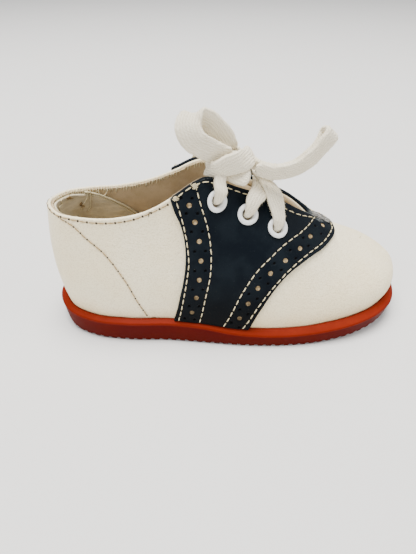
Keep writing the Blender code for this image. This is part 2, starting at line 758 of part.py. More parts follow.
def crossing(finish):
    """Two strands that cross over the tongue between the middle and front eyelets, as one solid."""
    middle = EYELETS["middle"]
    front = EYELETS["front"]
    strands = []
    rides = (("lace_crossing", LATERAL, OVER_STRAND), ("lace_crossing_under", MEDIAL, UNDER_STRAND))
    for name, start_side, ride in rides:
        end_side = -start_side
        route = [
            over_saddle(start_side, *front, OVER_EYELET + 0.3),
            over_saddle(start_side, 0.565, 0.88, OVER_EYELET),
            over_saddle(start_side, 0.556, 1.00, ride),
            (CROSSING[0], CROSSING[1], CROSSING[2] + ride),
            over_saddle(end_side, 0.538, 1.00, ride),
            over_saddle(end_side, 0.528, 0.91, OVER_EYELET + 0.1),
            over_saddle(end_side, *middle, OVER_EYELET + 0.3),
        ]
        strands.append(ribbon(name, route, (ALONG_THROAT,), finish, sections=14))
    under = strands[1]
    under.hide_render = True
    under.display_type = "WIRE"
    return cut(strands[0], under, "UNION")


def bow(finish):
    """Knot, wrap, two loops and the free ends."""
    knot(finish)
    ribbon("lace_loop_back", LOOP_BACK, LOOP_BACK_FACING, finish, width=LOOP_BACK_WIDTH, sections=22)
    ribbon("lace_loop_front", LOOP_FRONT, LOOP_FRONT_FACING, finish, width=LOOP_FRONT_WIDTH, sections=24)
    ribbon("lace_end_near", WRAP_AND_STUB, WRAP_FACING, finish, WRAP_WIDTH, WRAP_THICK, sections=22)
    route = [END_FAR_ROOT] + [over_saddle(MEDIAL, *row) for row in END_FAR]
    ribbon("lace_end_far", route, (ALONG_THROAT,), finish, sections=16)


def main():
    for existing in list(bpy.data.objects):
        bpy.data.objects.remove(existing)
    rubber = material("rubber", (0.36, 0.035, 0.022), 0.55)
    white = material("white_leather", (0.80, 0.77, 0.68), 0.45)
    navy = material("navy_leather", (0.012, 0.018, 0.030), 0.42)
    lining = material("lining", (0.42, 0.33, 0.20), 0.90)
    enamel = material("enamel", (0.85, 0.85, 0.84), 0.25)
    cotton = material("cotton", (0.84, 0.82, 0.78), 0.95)

    base = sole(rubber)
    cut(base, tread_grooves())
    insole(lining)
    holes = eyelet_holes()
    cut(upper(white), holes)
    cut(saddle(navy), holes)
    tongue(lining)
    placed_eyelets(eyelet_mesh(enamel))
    crossing(cotton)
    rear_strands(cotton)
    bow(cotton)

    shoe = bpy.data.objects.new("shoe", None)
    bpy.context.scene.collection.objects.link(shoe)
    for piece in bpy.data.objects:
        if piece is not shoe:
            piece.parent = shoe


if __name__ == "__main__":
    main()
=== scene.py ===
"""Looks of a child's saddle shoe: leather, lining, stitching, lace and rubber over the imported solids.

+X points to the toe, -Y to the outer side of the right foot and +Z up, with the origin on the floor.
Tables and sizes are in millimetres, and a mesh is turned into metres when it is made.
"""

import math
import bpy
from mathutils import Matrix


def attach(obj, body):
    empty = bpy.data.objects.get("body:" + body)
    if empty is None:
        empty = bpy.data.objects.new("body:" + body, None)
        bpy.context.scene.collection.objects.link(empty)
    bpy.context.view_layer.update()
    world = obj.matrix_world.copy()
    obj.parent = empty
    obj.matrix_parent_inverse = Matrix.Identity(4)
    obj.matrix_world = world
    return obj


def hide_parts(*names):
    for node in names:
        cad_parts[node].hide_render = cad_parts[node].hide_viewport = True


bl_info = {
    "name": "Child's Saddle Shoe",
    "version": (1, 0, 0),
    "blender": (4, 5, 0),
    "location": "3D View > Sidebar > Saddle Shoe",
    "description": "Builds the leather, stitching, lace and sole of a child's saddle shoe over its solids",
    "category": "Add Mesh",
}

import bmesh
import bpy
import numpy as np
from bpy.props import FloatProperty, FloatVectorProperty, PointerProperty
from mathutils import Matrix, Vector

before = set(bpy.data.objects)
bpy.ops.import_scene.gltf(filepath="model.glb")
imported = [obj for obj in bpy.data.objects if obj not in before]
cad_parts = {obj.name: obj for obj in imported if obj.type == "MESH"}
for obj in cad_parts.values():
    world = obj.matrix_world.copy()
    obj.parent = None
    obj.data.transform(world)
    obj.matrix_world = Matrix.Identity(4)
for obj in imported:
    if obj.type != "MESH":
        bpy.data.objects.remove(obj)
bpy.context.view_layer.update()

MM = 0.001
TURN = 2 * math.pi
BODY = "root"
LATERAL = -1
MEDIAL = 1

# Sizes that the solids have too
WALL = 1.8
SADDLE_LIFT = 0.5
SADDLE_THICK = 0.95
SADDLE_TOP = SADDLE_LIFT + SADDLE_THICK
EYELET_SEAT = SADDLE_TOP + 0.3
THROAT_BLEND = 0.035         # share on each side of the throat over which the skin's bend is rounded
EDGE_HOLD = 12               # power of the height that brings the exact top line back at the very edge
FOLD_REACH = 0.05            # share over which the two sides flow together ahead of the throat
EYELETS = {                  # share of the way from heel to toe, height up the section
    "rear": (0.453, 0.84),
    "middle": (0.521, 0.80),
    "front": (0.571, 0.75),
}

# Feather line, where the upper meets the sole, seen from above
FEATHER_HEEL = (-62.3, 0.0)
FEATHER_TOE = (62.0, 2.0)
FEATHER = (  # x, lateral y, medial y
    (-58.0, -11.0, 11.0),
    (-50.0, -16.0, 15.8),
    (-38.0, -18.8, 18.2),
    (-24.0, -20.0, 18.4),
    (-10.0, -22.3, 18.2),
    (4.0, -24.4, 19.4),
    (18.0, -25.2, 22.9),
    (32.0, -24.3, 25.3),
    (44.0, -21.7, 24.3),
    (52.0, -18.0, 20.6),
    (57.8, -12.8, 15.6),
    (60.9, -6.3, 9.8),
)
LEDGE = (  # share of the way from heel to toe, width of the sole's ledge (lateral, medial), wall's lean
    (0.00, 2.7, 2.7, 0.9),
    (0.20, 2.5, 2.4, 0.3),
    (0.40, 2.4, 2.0, 0.0),
    (0.60, 3.0, 2.4, 0.2),
    (0.80, 3.4, 3.0, 0.6),
    (1.00, 3.0, 3.0, 1.2),
)

# Side view of the sole
SOLE_SIDE = (  # x, tread height, outer edge height, join with the upper
    (-65.0, 3.2, 8.9, 10.0),
    (-60.0, 0.9, 8.7, 9.8),
    (-54.0, 0.0, 8.4, 9.5),
    (-40.0, 0.0, 8.2, 9.3),
    (-22.0, 0.0, 8.2, 9.3),
    (-12.0, 0.0, 7.6, 8.9),
    (-2.0, 0.0, 5.8, 7.5),
    (8.0, 0.0, 5.1, 6.9),
    (24.0, 0.0, 5.3, 7.0),
    (34.0, 0.4, 6.0, 7.7),
    (46.0, 1.6, 7.0, 8.6),
    (56.0, 3.2, 7.8, 9.3),
    (65.5, 5.4, 8.4, 9.8),
)

# Upper's top line: share of the way from heel to toe, then x, y, z
THROAT_SHARE = 0.63
OPENING_LATERAL = (
    (0.00, -62.0, 0.0, 47.0),
    (0.07, -58.6, -7.6, 46.8),
    (0.15, -51.0, -11.4, 46.4),
    (0.24, -38.5, -12.6, 46.2),
    (0.32, -27.0, -11.8, 48.6),
    (0.37, -19.5, -10.9, 52.6),
    (0.41, -13.0, -9.6, 56.4),
    (0.435, -9.3, -8.2, 57.2),
    (0.46, -5.6, -6.8, 55.2),
    (0.50, 0.2, -5.4, 52.0),
    (0.54, 7.6, -4.4, 48.8),
    (0.58, 16.4, -3.3, 44.6),
    (0.61, 24.0, -2.2, 39.8),
    (THROAT_SHARE, 30.8, 0.3, 35.6),
)
OPENING_MEDIAL = (
    (0.00, -62.0, 0.0, 47.0),
    (0.07, -58.6, 7.6, 46.6),
    (0.15, -51.0, 11.4, 46.2),
    (0.24, -38.5, 12.4, 46.4),
    (0.32, -27.0, 11.8, 48.9),
    (0.37, -19.0, 10.8, 52.2),
    (0.41, -12.0, 9.6, 55.8),
    (0.435, -8.2, 8.4, 56.8),
    (0.46, -4.6, 7.2, 55.0),
    (0.50, 1.0, 6.2, 52.2),
    (0.54, 8.4, 5.6, 49.4),
    (0.58, 17.0, 4.8, 45.6),
    (0.61, 24.4, 3.6, 41.0),
    (THROAT_SHARE, 30.8, 0.3, 35.6),
)
RIDGE = (  # share, x, y, z along the middle of the vamp
    (THROAT_SHARE, 30.8, 0.3, 35.6),
    (0.72, 36.5, 0.7, 32.6),
    (0.82, 41.8, 1.1, 29.9),
    (0.92, 46.6, 1.4, 27.6),
    (1.00, 50.0, 1.6, 25.9),
)

# Handles of each section: bulge and rise at its foot, crown and drop at its top
SECTIONS_LATERAL = (  # share, bulge, rise, crown, drop
    (0.00, 2.6, 12.0, 2.4, 12.0),
    (0.15, 2.4, 12.0, 2.2, 12.0),
    (0.24, 2.2, 12.0, 2.0, 12.0),
    (0.35, 1.4, 13.0, 2.6, 13.0),
    (0.43, 0.8, 14.0, 4.0, 12.0),
    (0.50, 0.6, 14.0, 6.2, 9.0),
    (0.58, 0.8, 12.0, 9.0, 4.5),
    (0.63, 1.0, 10.5, 11.5, 0.0),
    (0.75, 2.6, 9.5, 12.5, 0.0),
    (0.87, 4.6, 9.0, 12.5, 0.0),
    (1.00, 6.3, 8.5, 12.5, 0.0),
)
SECTIONS_MEDIAL = (
    (0.00, 2.6, 12.0, 2.4, 12.0),
    (0.15, 2.4, 12.0, 2.2, 12.0),
    (0.24, 2.4, 12.0, 2.0, 12.0),
    (0.35, 2.8, 13.0, 3.0, 13.0),
    (0.43, 3.0, 14.0, 4.4, 12.0),
    (0.50, 2.6, 14.0, 6.6, 9.0),
    (0.58, 1.6, 12.0, 9.4, 4.5),
    (0.63, 1.2, 10.5, 12.0, 0.0),
    (0.75, 2.6, 9.5, 13.0, 0.0),
    (0.87, 4.6, 9.0, 13.0, 0.0),
    (1.00, 6.3, 8.5, 12.5, 0.0),
)


def smooth(knots, values, at):
    """Cubic curve through a table's rows, each row's slope taken from its two neighbours."""
    knots = np.asarray(knots, float)
    values = np.asarray(values, float)
    at = np.asarray(at, float)
    slopes = np.gradient(values, knots, axis=0)
    low = np.clip(np.searchsorted(knots, at, side="right") - 1, 0, len(knots) - 2)
    width = knots[low + 1] - knots[low]
    u = np.clip((at - knots[low]) / width, 0.0, 1.0)
    if values.ndim == 2:
        u = u[..., None]
        width = width[..., None]
    near = (2 * u ** 3 - 3 * u ** 2 + 1) * values[low] + (u ** 3 - 2 * u ** 2 + u) * width * slopes[low]
    far = (3 * u ** 2 - 2 * u ** 3) * values[low + 1] + (u ** 3 - u ** 2) * width * slopes[low + 1]
    return near + far


def side_outline(side):
    """Dense feather line of one side, from the heel's middle to the toe's, with its outward normals."""
    column = 1 if side == LATERAL else 2
    mine = [(row[0], row[column]) for row in FEATHER]
    other = [(row[0], row[3 - column]) for row in FEATHER]
    ring = other[1::-1] + [FEATHER_HEEL] + mine + [FEATHER_TOE] + other[:-3:-1]
    ring = np.array(ring)
    knots = np.concatenate([[0.0], np.cumsum(np.hypot(*np.diff(ring, axis=0).T))])
    start = knots[2]
    end = knots[-3]
    fine = smooth(knots, ring, np.linspace(start, end, 801))
    length = np.concatenate([[0.0], np.cumsum(np.hypot(*np.diff(fine, axis=0).T))])
    tangent = np.gradient(fine, length, axis=0)
    normal = np.stack([-side * tangent[:, 1], side * tangent[:, 0]], axis=1)
    return length / length[-1], fine, normal


OUTLINES = {side: side_outline(side) for side in (LATERAL, MEDIAL)}


def along_feather(side, share):
    """Point and outward normal of the feather line, seen from above, at a share of its length."""
    shares, points, normals = OUTLINES[side]
    point = np.stack([np.interp(share, shares, points[:, k]) for k in range(2)], axis=-1)
    normal = np.stack([np.interp(share, shares, normals[:, k]) for k in range(2)], axis=-1)
    return point, normal / np.linalg.norm(normal, axis=-1, keepdims=True)


def table(rows, at):
    """All columns of a table but its first, read at values of its first column."""
    rows = np.array(rows)
    return smooth(rows[:, 0], rows[:, 1:], at)


def closed_side_table(side, at):
    """Section handles of one side, carried on smoothly over the heel and the toe."""
    mine = np.array(SECTIONS_LATERAL if side == LATERAL else SECTIONS_MEDIAL)
    other = np.array(SECTIONS_MEDIAL if side == LATERAL else SECTIONS_LATERAL)
    before = other[1:2] * [-1, 1, 1, 1, 1]
    after = other[-2:-1].copy()
    after[:, 0] = 2.0 - after[:, 0]
    rows = np.concatenate([before, mine, after])
    return smooth(rows[:, 0], rows[:, 1:], at)


def top_line(side, share):
    """Collar and flap edge of one side as far as the throat, then the ridge of the vamp."""
    share = np.asarray(share, float)
    mine = np.array(OPENING_LATERAL if side == LATERAL else OPENING_MEDIAL)
    mirrored = np.array(OPENING_MEDIAL if side == LATERAL else OPENING_LATERAL)[1:2] * [-1, 1, 1, 1]
    edge = table(np.concatenate([mirrored, mine]), np.minimum(share, THROAT_SHARE))
    ridge = table(RIDGE, np.maximum(share, THROAT_SHARE))
    return np.where((share < THROAT_SHARE)[..., None], edge, ridge)


def soft_top_line(side, share):
    """Top line with its bend at the throat rounded off, for the skin below the edge."""
    share = np.asarray(share, float)
    exact = top_line(side, share)
    near = np.clip(1 - np.abs(share - THROAT_SHARE) / (2 * THROAT_BLEND), 0, 1)
    near = (near * near * (3 - 2 * near))[..., None]
    if not np.any(near > 0):
        return exact
    places = [np.clip(share + THROAT_BLEND * d, 0, 1) for d in np.linspace(-1, 1, 9)]
    mean = sum(top_line(side, place) for place in places) / 9
    return exact + (mean - exact) * near


def ridge_slope(share):
    """Rise of the vamp's ridge per millimetre ahead."""
    step = 0.01
    at = np.clip(share, THROAT_SHARE + step, 1.0 - step)
    change = table(RIDGE, at + step) - table(RIDGE, at - step)
    return change[..., 2] / change[..., 0]


def upper_skin(side, share, height):
    """Outer face of the upper: at each share a cubic section from the feather line to the top line."""
    share, height = np.broadcast_arrays(np.asarray(share, float), np.asarray(height, float))
    base_xy, out = along_feather(side, share)
    join = table(SOLE_SIDE, base_xy[..., 0])[..., 2]
    bulge, rise, crown, drop = np.moveaxis(closed_side_table(side, share), -1, 0)
    base = np.concatenate([base_xy, join[..., None]], axis=-1)
    top = top_line(side, share)
    soft_top = soft_top_line(side, share)
    ahead = np.clip((share - THROAT_SHARE) / FOLD_REACH, 0, 1)
    fold = ridge_slope(share) * ahead * ahead * (3 - 2 * ahead)
    foot = base + np.stack([out[..., 0] * bulge, out[..., 1] * bulge, rise], axis=-1)
    sink = fold * out[..., 0] * crown - drop
    head = soft_top + np.stack([out[..., 0] * crown, out[..., 1] * crown, sink], axis=-1)
    u = height[..., None]
    edge = soft_top + (top - soft_top) * u ** EDGE_HOLD
    return (1 - u) ** 3 * base + 3 * (1 - u) ** 2 * u * foot + 3 * (1 - u) * u ** 2 * head + u ** 3 * edge


def skin_normal(side, share, height):
    """Outward unit normal of the upper's outer face, from differences of the surface itself."""
    step = 0.002
    share, height = np.broadcast_arrays(np.asarray(share, float), np.asarray(height, float))
    low = np.clip(share - step, 0, 1)
    high = np.clip(share + step, 0, 1)
    ahead = upper_skin(side, high, height) - upper_skin(side, low, height)
    up_low = np.clip(height - step, 0, 1)
    up_high = np.clip(height + step, 0, 1)
    up = upper_skin(side, share, up_high) - upper_skin(side, share, up_low)
    normal = np.cross(ahead, up) * -side
    return normal / np.linalg.norm(normal, axis=-1, keepdims=True)


def unit(vectors):
    """Vectors scaled to length one."""
    return vectors / np.linalg.norm(vectors, axis=-1, keepdims=True)


SADDLE_EDGES = (  # height up the section, share at the rear edge, share at the front edge
    (0.00, 0.338, 0.517),
    (0.12, 0.348, 0.532),
    (0.25, 0.359, 0.554),
    (0.38, 0.372, 0.578),
    (0.50, 0.381, 0.603),
    (0.62, 0.384, 0.636),
    (0.75, 0.380, 0.678),
    (0.88, 0.369, 0.718),
    (1.00, 0.361, 0.735),
)




def skin_sheet(side, shares, heights):
    """Points and normals of the upper's outer face on a grid of shares by heights."""
    share, height = np.meshgrid(shares, heights, indexing="ij")
    return upper_skin(side, share, height), skin_normal(side, share, height)


def on_skin(side, share, height, lift=0.0):
    """Points a given height above the upper's outer face."""
    return upper_skin(side, share, height) + skin_normal(side, share, height) * np.asarray(lift)[..., None]


def grid_quads(rows, columns, wrap_rows=False, wrap_columns=False):
    """Corner numbers of the quads of a grid whose points are stored row after row."""
    index = np.arange(rows * columns).reshape(rows, columns)
    if wrap_rows:
        index = np.concatenate([index, index[:1]])
    if wrap_columns:
        index = np.concatenate([index, index[:, :1]], axis=1)
    return quads_between(index)


def quads_between(index):
    """Quads between neighbouring entries, in the last two axes, of an array of point numbers."""
    low, high = index[..., :-1, :], index[..., 1:, :]
    return np.stack([low[..., :-1], high[..., :-1], high[..., 1:], low[..., 1:]], axis=-1).reshape(-1, 4)


def turns(count, offset=0.0):
    """Angles of even steps round a circle."""
    return (np.arange(count) + offset) * TURN / count


def rounded(wave, power):
    """Sine or cosine raised to a power with its sign kept, which squares a circle a little."""
    return np.sign(wave) * np.abs(wave) ** power


def face_lists(quads):
    """Faces as lists, with a corner that a quad names twice left out."""
    faces = quads.tolist()
    for k in np.flatnonzero((quads == np.roll(quads, -1, axis=1)).any(axis=1)):
        faces[k] = list(dict.fromkeys(faces[k]))
    return [face for face in faces if len(face) > 2]


def stacked(*grids):
    """Points of several grids, one grid after another."""
    return np.concatenate([grid.reshape(-1, 3) for grid in grids])


def doubled(values):
    """Named numbers of a grid, given again for the second grid of the same shape."""
    return {key: np.tile(np.ravel(numbers), 2) for key, numbers in values.items()}


def make_piece(name, points, faces, finish, values=None, outward=False):
    """Object from points in millimetres; values are named numbers kept at its points for the material."""
    mesh = bpy.data.meshes.new(name)
    mesh.from_pydata((np.asarray(points).reshape(-1, 3) * MM).tolist(), [], faces)
    for key, numbers in (values or {}).items():
        layer = mesh.attributes.new(key, "FLOAT", "POINT")
        layer.data.foreach_set("value", np.asarray(numbers, np.float32).ravel())
    if outward:
        shape = bmesh.new()
        shape.from_mesh(mesh)
        bmesh.ops.recalc_face_normals(shape, faces=shape.faces)
        shape.to_mesh(mesh)
        shape.free()
    mesh.shade_smooth()
    mesh.materials.append(finish)
    piece = bpy.data.objects.new(name, mesh)
    bpy.context.scene.collection.objects.link(piece)
    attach(piece, BODY)
    return piece


def arc_lengths(points):
    """Distance along a line of points."""
    return np.concatenate([[0.0], np.cumsum(np.linalg.norm(np.diff(points, axis=0), axis=1))])


def even_line(points, count):
    """A line of points read again at even distances."""
    points = np.asarray(points, float)
    along = arc_lengths(points)
    at = np.linspace(0, along[-1], count)
    return np.stack([np.interp(at, along, points[:, k]) for k in range(3)], axis=1)


def curve_through(route, count):
    """Smooth curve through a route's points, read at even distances."""
    route = np.asarray(route, float)
    knots = arc_lengths(route)
    return even_line(smooth(knots, route, np.linspace(0, knots[-1], 8 * count)), count)


def along_route(route, values, count):
    """Values given at a route's points, read smoothly at as many even places along it."""
    knots = arc_lengths(np.asarray(route, float))
    return smooth(knots, np.asarray(values, float), np.linspace(0, knots[-1], count))


def sweep(centre, wide, widths, thicks, sides, power):
    """Points and section angles of a flat cord: a rounded oblong carried along the centre line.

    At each place the section's width lies along the wide direction and its thickness across both that
    and the line; the section is an ellipse whose sine and cosine are raised to a power under one.
    """
    tangent = unit(np.gradient(centre, axis=0))
    wide = unit(wide - tangent * np.sum(wide * tangent, axis=1, keepdims=True))
    flat = np.cross(tangent, wide)
    angle = turns(sides, 0.5)
    out = rounded(np.cos(angle), power)[None] * np.asarray(widths)[:, None] / 2
    up = rounded(np.sin(angle), power)[None] * np.asarray(thicks)[:, None] / 2
    points = centre[:, None] + wide[:, None] * out[..., None] + flat[:, None] * up[..., None]
    return points, angle


def tube_faces(count, sides):
    """Faces of a swept tube with both ends closed by a fan to a middle point, added last."""
    quads = grid_quads(count, sides, wrap_columns=True)
    faces = quads[:, ::-1].tolist()
    ring = np.arange(sides)
    start = count * sides
    first = np.stack([np.full(sides, start), np.roll(ring, -1), ring], axis=1)
    last_ring = ring + (count - 1) * sides
    last = np.stack([np.full(sides, start + 1), last_ring, np.roll(last_ring, -1)], axis=1)
    return faces + first[:, ::-1].tolist() + last[:, ::-1].tolist()


def arithmetic(operation, swapped=False):
    """Method that adds the Math node of an operation on a signal and another signal or number."""
    def method(signal, other):
        return signal.math(operation, *((other, signal) if swapped else (signal, other)))
    return method


class Signal:
    """A shader socket with arithmetic; an expression on signals adds its Math nodes."""

    def __init__(self, finish, socket):
        self.finish = finish
        self.socket = socket

    def math(self, operation, *values, clamp=False):
        """Result of a Math node whose inputs are signals or numbers."""
        settings = {"operation": operation, "use_clamp": clamp}
        return self.finish.node("ShaderNodeMath", settings, dict(enumerate(values)))

    __add__ = __radd__ = arithmetic("ADD")
    __mul__ = __rmul__ = arithmetic("MULTIPLY")
    __sub__ = arithmetic("SUBTRACT")
    __rsub__ = arithmetic("SUBTRACT", swapped=True)
    __pow__ = arithmetic("POWER")

    def sine(self):
        """Sine of the signal."""
        return self.math("SINE", self)

    def clamped(self):
        """The signal kept between 0 and 1."""
        return self.math("ADD", self, 0.0, clamp=True)

    def step(self, low, high, to_low=0.0, to_high=1.0):
        """Smooth step from to_low, where the value is low, to to_high, where it is high."""
        values = {"Value": self, "From Min": low, "From Max": high, "To Min": to_low, "To Max": to_high}
        return self.finish.node("ShaderNodeMapRange", {"interpolation_type": "SMOOTHSTEP"}, values)


class Finish:
    """Node tree of one material."""

    def __init__(self, name, colour, roughness, **shader_values):
        self.material = bpy.data.materials.new("shoe_" + name)
        self.material.use_nodes = True
        self.material.diffuse_color = (*colour, 1.0)
        self.tree = self.material.node_tree
        self.shader = self.tree.nodes["Principled BSDF"]
        self.shader.inputs["Base Color"].default_value = (*colour, 1.0)
        self.shader.inputs["Roughness"].default_value = roughness
        for key, value in shader_values.items():
            self.shader.inputs[key.replace("_", " ")].default_value = value
        self.place = self.node("ShaderNodeTexCoord", output="Object")

    def node(self, kind, settings=None, values=None, output=0):
        """Output of a new node, with its settings, and its inputs linked to signals or set to values."""
        made = self.tree.nodes.new(kind)
        for key, value in (settings or {}).items():
            setattr(made, key, value)
        for key, value in (values or {}).items():
            if isinstance(value, Signal):
                self.tree.links.new(value.socket, made.inputs[key])
            else:
                made.inputs[key].default_value = value
        return Signal(self, made.outputs[output])

    def feed(self, **signals):
        """Links signals to the shader's named sockets and gives the material."""
        for key, signal in signals.items():
            self.tree.links.new(signal.socket, self.shader.inputs[key.replace("_", " ")])
        return self.material

    def kept(self, name):
        """Number kept at the mesh's points under a name."""
        return self.node("ShaderNodeAttribute", {"attribute_name": name}, output="Fac")

    def noise(self, size_mm, detail=2.0, roughness=0.5):
        """Noise whose features are about size_mm across."""
        values = {"Vector": self.place, "Scale": 1 / (size_mm * MM), "Detail": detail, "Roughness": roughness}
        return self.node("ShaderNodeTexNoise", {}, values)

    def cells(self, size_mm):
        """Smooth distance to the nearest of scattered points about size_mm apart."""
        values = {"Vector": self.place, "Scale": 1 / (size_mm * MM), "Smoothness": 0.5}
        return self.node("ShaderNodeTexVoronoi", {"feature": "SMOOTH_F1"}, values, "Distance")

    def streaks(self, factors, scale, detail):
        """Noise of object coordinates scaled by a factor on each axis, long where the factor is small."""
        place = self.node("ShaderNodeVectorMath", {"operation": "MULTIPLY"}, {0: self.place, 1: factors})
        return self.node("ShaderNodeTexNoise", {}, {"Vector": place, "Scale": scale, "Detail": detail})

    def mixed(self, share, low, high):
        """Colour between two, by share; each is a signal or a tuple."""
        low, high = ((*tone, 1.0) if isinstance(tone, tuple) else tone for tone in (low, high))
        values = {0: share, 6: low, 7: high}
        return self.node("ShaderNodeMix", {"data_type": "RGBA"}, values, 2)

    def bump(self, height, depth_mm, strength):
        """Normal of a relief whose height runs from 0 to 1 over depth_mm."""
        values = {"Height": height, "Distance": depth_mm * MM, "Strength": strength}
        return self.node("ShaderNodeBump", {}, values)


# Lines over the skin, as share of the way from heel to toe and height up the section
REAR_OUTER_ROW = ((0.00, 0.349), (0.22, 0.366), (0.37, 0.379), (0.49, 0.388), (0.61, 0.389), (0.78, 0.384),
                  (0.95, 0.374))
REAR_INNER_ROW = ((0.00, 0.399), (0.23, 0.416), (0.39, 0.431), (0.53, 0.436), (0.65, 0.433), (0.81, 0.421),
                  (1.00, 0.408))
FRONT_INNER_ROW = ((0.00, 0.455), (0.275, 0.498), (0.375, 0.5185), (0.465, 0.5395), (0.541, 0.5597),
                   (0.621, 0.5775), (0.699, 0.5935), (0.775, 0.6078), (0.866, 0.6210), (1.00, 0.631))
FRONT_OUTER_ROW = ((0.00, 0.500), (0.23, 0.540), (0.33, 0.561), (0.415, 0.579), (0.495, 0.595), (0.571, 0.6112),
                   (0.644, 0.6300), (0.742, 0.6560), (0.856, 0.6880), (0.928, 0.7060), (1.00, 0.714))
REAR_HOLES = ((0.860, 0.398), (0.732, 0.407), (0.606, 0.413), (0.485, 0.413), (0.364, 0.406), (0.236, 0.396),
              (0.106, 0.383))
FRONT_HOLES = ((0.893, 0.653), (0.750, 0.623), (0.645, 0.607), (0.545, 0.586), (0.447, 0.561), (0.341, 0.536),
               (0.226, 0.514), (0.103, 0.494))
COLLAR_ROW = ((0.000, 0.985), (0.050, 0.983), (0.091, 0.980), (0.151, 0.970), (0.219, 0.960), (0.269, 0.960),
              (0.316, 0.970), (0.356, 0.962))
COUNTER_ROW = ((0.094, 0.970), (0.136, 0.920), (0.171, 0.810), (0.203, 0.690), (0.226, 0.540), (0.243, 0.390),
               (0.256, 0.220), (0.273, 0.030))
FLAP_ROW = ((0.374, 0.982), (0.391, 0.984), (0.408, 0.984), (0.432, 0.970), (0.455, 0.960), (0.478, 0.965),
            (0.522, 0.955), (0.584, 0.925), (0.601, 0.920), (0.626, 0.945))
HEEL_PIPING = ((0.098, 1.000), (0.140, 0.977), (0.177, 0.936), (0.207, 0.873), (0.234, 0.789),
               (0.263, 0.659), (0.285, 0.500), (0.300, 0.320), (0.308, 0.120), (0.310, 0.000))


def row_line(rows, side, lift, count=400, share_first=False):
    """Shares, heights and points of a dense line over the skin through a row's places, lifted above it.

    The bands' rows give the height first, and share_first tells the rows that give the share first.
    """
    rows = np.array(rows, float)
    if not share_first:
        rows = rows[:, ::-1]
    rough = upper_skin(side, rows[:, 0], rows[:, 1])
    knots = arc_lengths(rough)
    share, height = smooth(knots, rows, np.linspace(0, knots[-1], count)).T
    height = np.minimum(height, 1.0)
    return share, height, on_skin(side, share, height, np.full(count, lift))


def distance_to(points, line):
    """Distance of each point to the nearest of a dense line's points."""
    flat = points.reshape(-1, 3)
    near = np.full(len(flat), 1e9)
    for part in np.array_split(line, max(1, len(line) // 40)):
        gap = np.linalg.norm(flat[:, None] - part[None], axis=2).min(axis=1)
        near = np.minimum(near, gap)
    return near.reshape(points.shape[:-1])


def bell(distance, width):
    """Smooth hump of height one, falling to nothing at about twice its width."""
    return np.exp(-(distance / width) ** 2)


def faded(distance, reach):
    """One at no distance, falling smoothly to nothing at the reach."""
    t = np.clip(1 - distance / reach, 0, 1)
    return t * t * (3 - 2 * t)


# Soft creases of the upper: side, places, width, depth (a ridge where the depth is negative)
CREASES = (
    (LATERAL, ((0.735, 0.93), (0.742, 0.85), (0.738, 0.76)), 1.6, 0.22),
    (LATERAL, ((0.752, 0.96), (0.760, 0.88), (0.752, 0.80)), 1.5, -0.16),
    (LATERAL, ((0.700, 0.66), (0.712, 0.56), (0.700, 0.46)), 2.2, 0.14),
    (LATERAL, ((0.325, 0.80), (0.335, 0.62), (0.330, 0.45)), 2.6, 0.12),
    (LATERAL, ((0.300, 0.30), (0.318, 0.20), (0.338, 0.12)), 1.8, 0.14),
    (LATERAL, ((0.060, 0.30), (0.085, 0.16), (0.120, 0.08)), 2.2, 0.14),
    (MEDIAL, ((0.740, 0.95), (0.750, 0.84), (0.742, 0.72)), 1.7, 0.24),
    (MEDIAL, ((0.760, 0.94), (0.768, 0.82), (0.756, 0.70)), 1.6, -0.18),
    (MEDIAL, ((0.700, 0.62), (0.715, 0.50), (0.702, 0.38)), 2.2, 0.18),
    (MEDIAL, ((0.322, 0.78), (0.334, 0.58), (0.328, 0.42)), 2.6, 0.16),
    (MEDIAL, ((0.298, 0.32), (0.318, 0.22), (0.340, 0.12)), 1.8, 0.14),
)


def soft_waves(points, size, seed):
    """Slow undulation between -1 and 1: the mean of five sine waves in directions drawn once."""
    draw = np.random.default_rng(seed)
    total = np.zeros(points.shape[:-1])
    for _ in range(5):
        direction = draw.normal(size=3)
        direction /= np.linalg.norm(direction)
        length = size * draw.uniform(0.7, 1.4)
        total += np.sin(points @ direction * TURN / length + draw.uniform(0, 6.3))
    return total / 5


def ring_sheet(behind, ahead, heights):
    """Shares, points and normals all round the upper: the outer side, then the inner side back to the heel."""
    shares = np.concatenate([np.linspace(0, THROAT_SHARE, behind), np.linspace(THROAT_SHARE, 1, ahead)[1:]])
    near = skin_sheet(LATERAL, shares, heights)
    far = skin_sheet(MEDIAL, shares[-2:0:-1], heights)
    points, normals = (np.concatenate(pair) for pair in zip(near, far))
    return np.concatenate([shares, shares[-2:0:-1]]), points, normals


def past_throat(shares):
    """True where a section's top is the vamp's ridge, so that there is no open rim."""
    return shares >= THROAT_SHARE - 1e-9


def ring_index(shares, rows):
    """Point numbers of a ring sheet, shared along the vamp's ridge, where its two sides meet."""
    count = len(shares)
    index = np.arange(count * rows).reshape(count, rows)
    for k in range(count // 2 + 1, count):
        if past_throat(shares[k]):
            index[k, -1] = index[count - k, -1]
    return index


def joined(outer, inner, ahead, points):
    """Faces of a ring shell: outer and inner sheets with the eyelets' openings, the rims and the foot."""
    ring_out = np.concatenate([outer, outer[:1]])
    ring_in = np.concatenate([inner, inner[:1]])
    foot = np.stack([ring_in[:, 0], ring_out[:, 0]], axis=1)
    sheets = punched(quads_between(ring_out), quads_between(ring_in), points, eyelet_centres())
    quads = [*sheets, quads_between(foot)]
    rim = np.stack([ring_out[:, -1], ring_in[:, -1]], axis=1)
    open_rim = np.concatenate([~ahead, ~ahead[:1]])
    for k in range(len(rim) - 1):
        if open_rim[k] or open_rim[k + 1]:
            quads.append(quads_between(rim[k:k + 2]))
    return face_lists(np.concatenate(quads))


